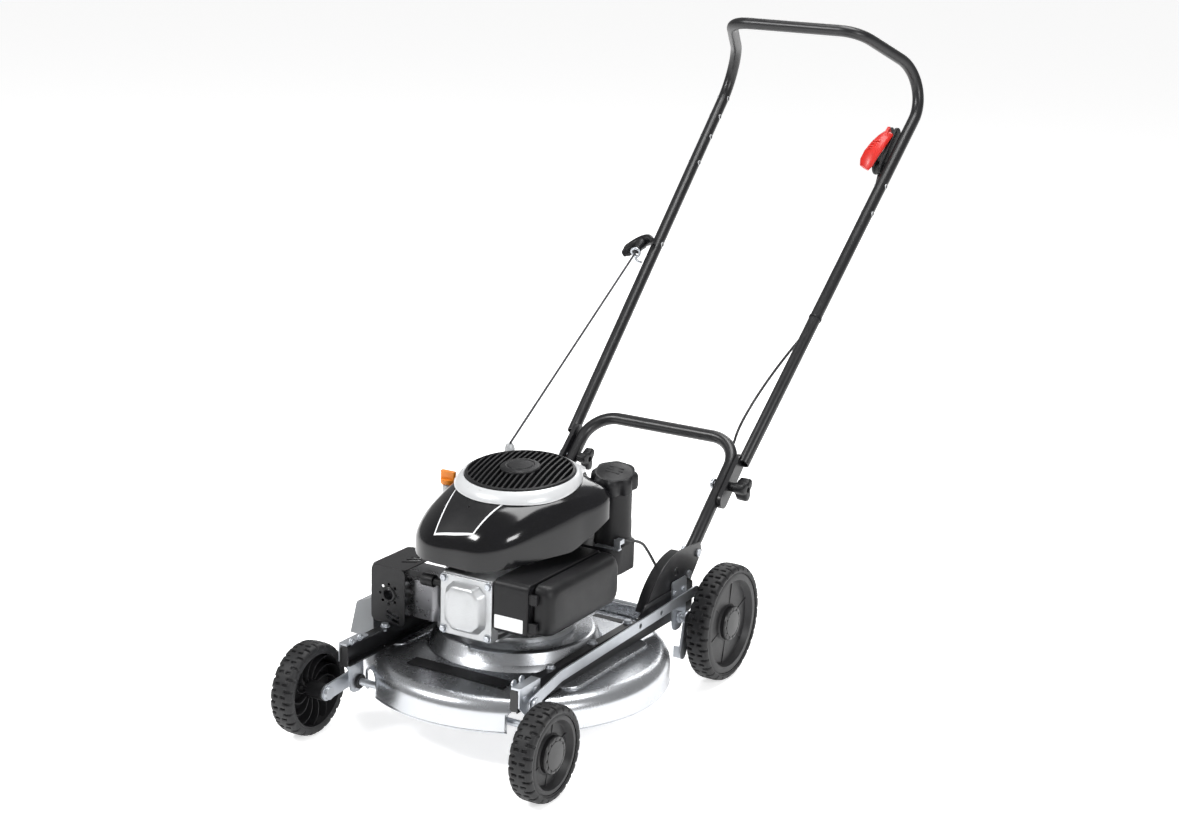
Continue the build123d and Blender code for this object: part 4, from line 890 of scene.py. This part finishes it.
parts.append((verts, grid(BAR_ROWS, BAR_STEPS) + ends))
piece("pull_grip", *joined(parts), MATT, "starter_grip", ("starter_grip",), bevel=0.0008)

# ---------------------------------------------------------------- wire, rope and cable
def smooth_curve(name, points, resolution):
    """Linked object of one open smooth spline with these control points."""
    curve = bpy.data.curves.new(name, "CURVE")
    curve.dimensions = "3D"
    line = curve.splines.new("NURBS")
    line.points.add(len(points) - 1)
    for spot, p in zip(line.points, points):
        spot.co = (*p, 1)
    line.order_u = 3
    line.use_endpoint_u = True
    line.resolution_u = resolution
    o = bpy.data.objects.new(name, curve)
    bpy.context.scene.collection.objects.link(o)
    return o


def thicken(curve, radius):
    curve.bevel_depth = radius / 1000
    curve.bevel_resolution = 4
    curve.use_fill_caps = True


def wire(name, points, radius, look, body, stands_for):
    """Stiff round wire that moves with one body."""
    o = smooth_curve(name, points, 8)
    thicken(o.data, radius)
    o.data.materials.append(look)
    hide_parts(*stands_for)
    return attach(o, body)


# rope guide: wire pigtail through the tube
COIL_R = 8.6
coil = []
ring_v = XA.cross(WAY).normalized()
ring_u = WAY.cross(ring_v).normalized()
for k in range(15):
    a = radians(-95 + 26 * k)
    round_ring = ring_u * cos(a) * COIL_R + ring_v * sin(a) * COIL_R
    coil.append(RING + (round_ring + WAY * (k - 7) * 0.42) / 1000)
tail = [at(-202, 712, 613.0), at(-208, 712, 613.5), at(-213.5, 712, 616), at(-215, 712, 621)]
wire("pigtail", tail + coil, 2.4, ZINC, "upper_handle", ("rope_guide",))


# starter rope and throttle cable: smooth tubes along given routes
def cord_tube(name, route, radius, look, stands_for=()):
    """Mesh tube along a smooth route."""
    drawn = smooth_curve(f"{name}_line", route, 12)
    bpy.context.view_layer.update()
    bare = bpy.data.meshes.new_from_object(drawn)
    path = [Vector(v.co) for v in bare.vertices]
    thicken(drawn.data, radius)
    bpy.context.view_layer.update()
    shown = drawn.evaluated_get(bpy.context.evaluated_depsgraph_get())
    mesh = bpy.data.meshes.new_from_object(shown)
    mesh.polygons.foreach_set("use_smooth", [True] * len(mesh.polygons))
    mesh.materials.clear()
    mesh.materials.append(look)
    bpy.data.objects.remove(drawn)
    o = bpy.data.objects.new(name, mesh)
    bpy.context.scene.collection.objects.link(o)
    if stands_for:
        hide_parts(*stands_for)
    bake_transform(o)
    return o, path


ROPE_R = 2.0
CABLE_R = 2.5
rope_route = [START + WAY * 0.002, START.lerp(RING, 0.03), START.lerp(RING, 0.35), START.lerp(RING, 0.68),
              START.lerp(RING, 0.97), RING + WAY * 0.002]
rope, path = cord_tube("pull_rope", rope_route, ROPE_R, ROPE, ("starter_rope",))
# short stretch of rope between the ring and the grip
rope_end = [RING + WAY * 0.001 * k for k in (0, 3, 6, 9, 12)]
cord_tube("grip_rope", rope_end, 1.9, ROPE)


def by_tube(fraction, inwards, below=0.0):
    """Point beside the left upper tube, inwards and under its centre by so many millimetres."""
    return tube_at(fraction) - (XA * inwards + ACROSS * below) / 1000


cable_route = [
    by_tube(0.779, 24), by_tube(0.71, 5, 14.3), by_tube(0.40, 3, 14.3), by_tube(0.31, 26, 12),
    by_tube(0.22, 44, 15), at(132, 489, 392), at(126, 481, 354), at(124, 380, 262), at(124, 320, 205),
    at(127, 262, 184), at(134, 205, 203), at(139, 158, 252), at(150, 108, 288), at(144, 57, 300),
]
cable, path = cord_tube("cable", cable_route, CABLE_R, CORD, ("throttle_cable",))

# two screws on the inner side of each rail's front end
screw_head = [(6, -1), (6, 1.2), (4.6, 1.6), (4.4, 3.0), (2.4, 3.8), (1.6, 2.6), (0.01, 2.4)]
for side, rail in ((-1, "right_rail"), (1, "left_rail")):
    low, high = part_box(rail)
    inner_x = high.x if side < 0 else low.x
    screws = []
    for forward in (0.012, 0.034):
        spot = Vector((inner_x, low.y + forward, high.z - 0.014))
        screws.append(lathe(screw_head, spot, -XA * side, YA, 28))
    piece(f"{rail}_screws", *joined(screws), ZINC, "chassis", sharp=30)

# decals without marks
DECALS = (
    ("front_decal", rounded(184, 31, 2, 3), (0, -196, 120.6)),
    ("rear_decal", rounded(58, 15, 2, 3), (70, 153, 119.5)),
)
for name, outline, spot in DECALS:
    piece(name, *slab(outline, at(*spot), XA, YA, 0.5), MATT, "chassis")

# ---------------------------------------------------------------- room, light and camera
bpy.ops.mesh.primitive_plane_add(size=80, location=(0, 4, -0.001))
floor = bpy.context.object
pale = material("pale_floor", (0.93, 0.93, 0.93), 0.7, 0.0, 60, 0.02, 0.01)
glow = pale.node_tree.nodes["Principled BSDF"].inputs
glow["Emission Color"].default_value = (1, 1, 1, 1)
glow["Emission Strength"].default_value = 0.62
floor.data.materials.append(pale)
floor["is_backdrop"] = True


def lamp(name, place, target, size, power):
    """Soft rectangular light aimed at a point."""
    data = bpy.data.lights.new(name, "AREA")
    data.shape = "RECTANGLE"
    data.size = size
    data.size_y = size * 0.7
    data.energy = power
    o = bpy.data.objects.new(name, data)
    bpy.context.scene.collection.objects.link(o)
    o.location = place
    o.rotation_euler = (Vector(target) - Vector(place)).to_track_quat("-Z", "Y").to_euler()


lamp("key", (-2.2, -3.2, 3.6), (0, -0.2, 0.4), 1.3, 120)
lamp("fill", (3.4, -2.0, 2.2), (0, -0.2, 0.3), 1.2, 60)
lamp("top", (0.2, 0.6, 4.2), (0, -0.1, 0.3), 2.6, 130)
lamp("back", (-1.0, 4.0, 2.6), (0, 0, 0.5), 2.2, 45)
world = bpy.data.worlds.new("room")
bpy.context.scene.world = world
world.use_nodes = True
background = world.node_tree.nodes["Background"].inputs
background["Color"].default_value = (1, 1, 1, 1)
background["Strength"].default_value = 0.34

bpy.context.scene.view_settings.view_transform = "Standard"
azimuth, elevation, roll = radians(30.31), radians(15.23), radians(1.72)
ahead = Vector((-sin(azimuth) * cos(elevation), cos(azimuth) * cos(elevation), -sin(elevation)))
level = Vector((cos(azimuth), sin(azimuth), 0))
above = level.cross(ahead)
right = level * cos(roll) + above * sin(roll)
up = above * cos(roll) - level * sin(roll)
eye = bpy.data.cameras.new("camera")
eye.lens = 66.94
eye.sensor_width = 36
camera = bpy.data.objects.new("camera", eye)
bpy.context.scene.collection.objects.link(camera)
turn = Matrix((right, up, -ahead)).transposed().to_4x4()
camera.matrix_world = Matrix.Translation(at(1801.3, -2893.6, 1431.1)) @ turn
bpy.context.scene.camera = camera

low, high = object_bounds()
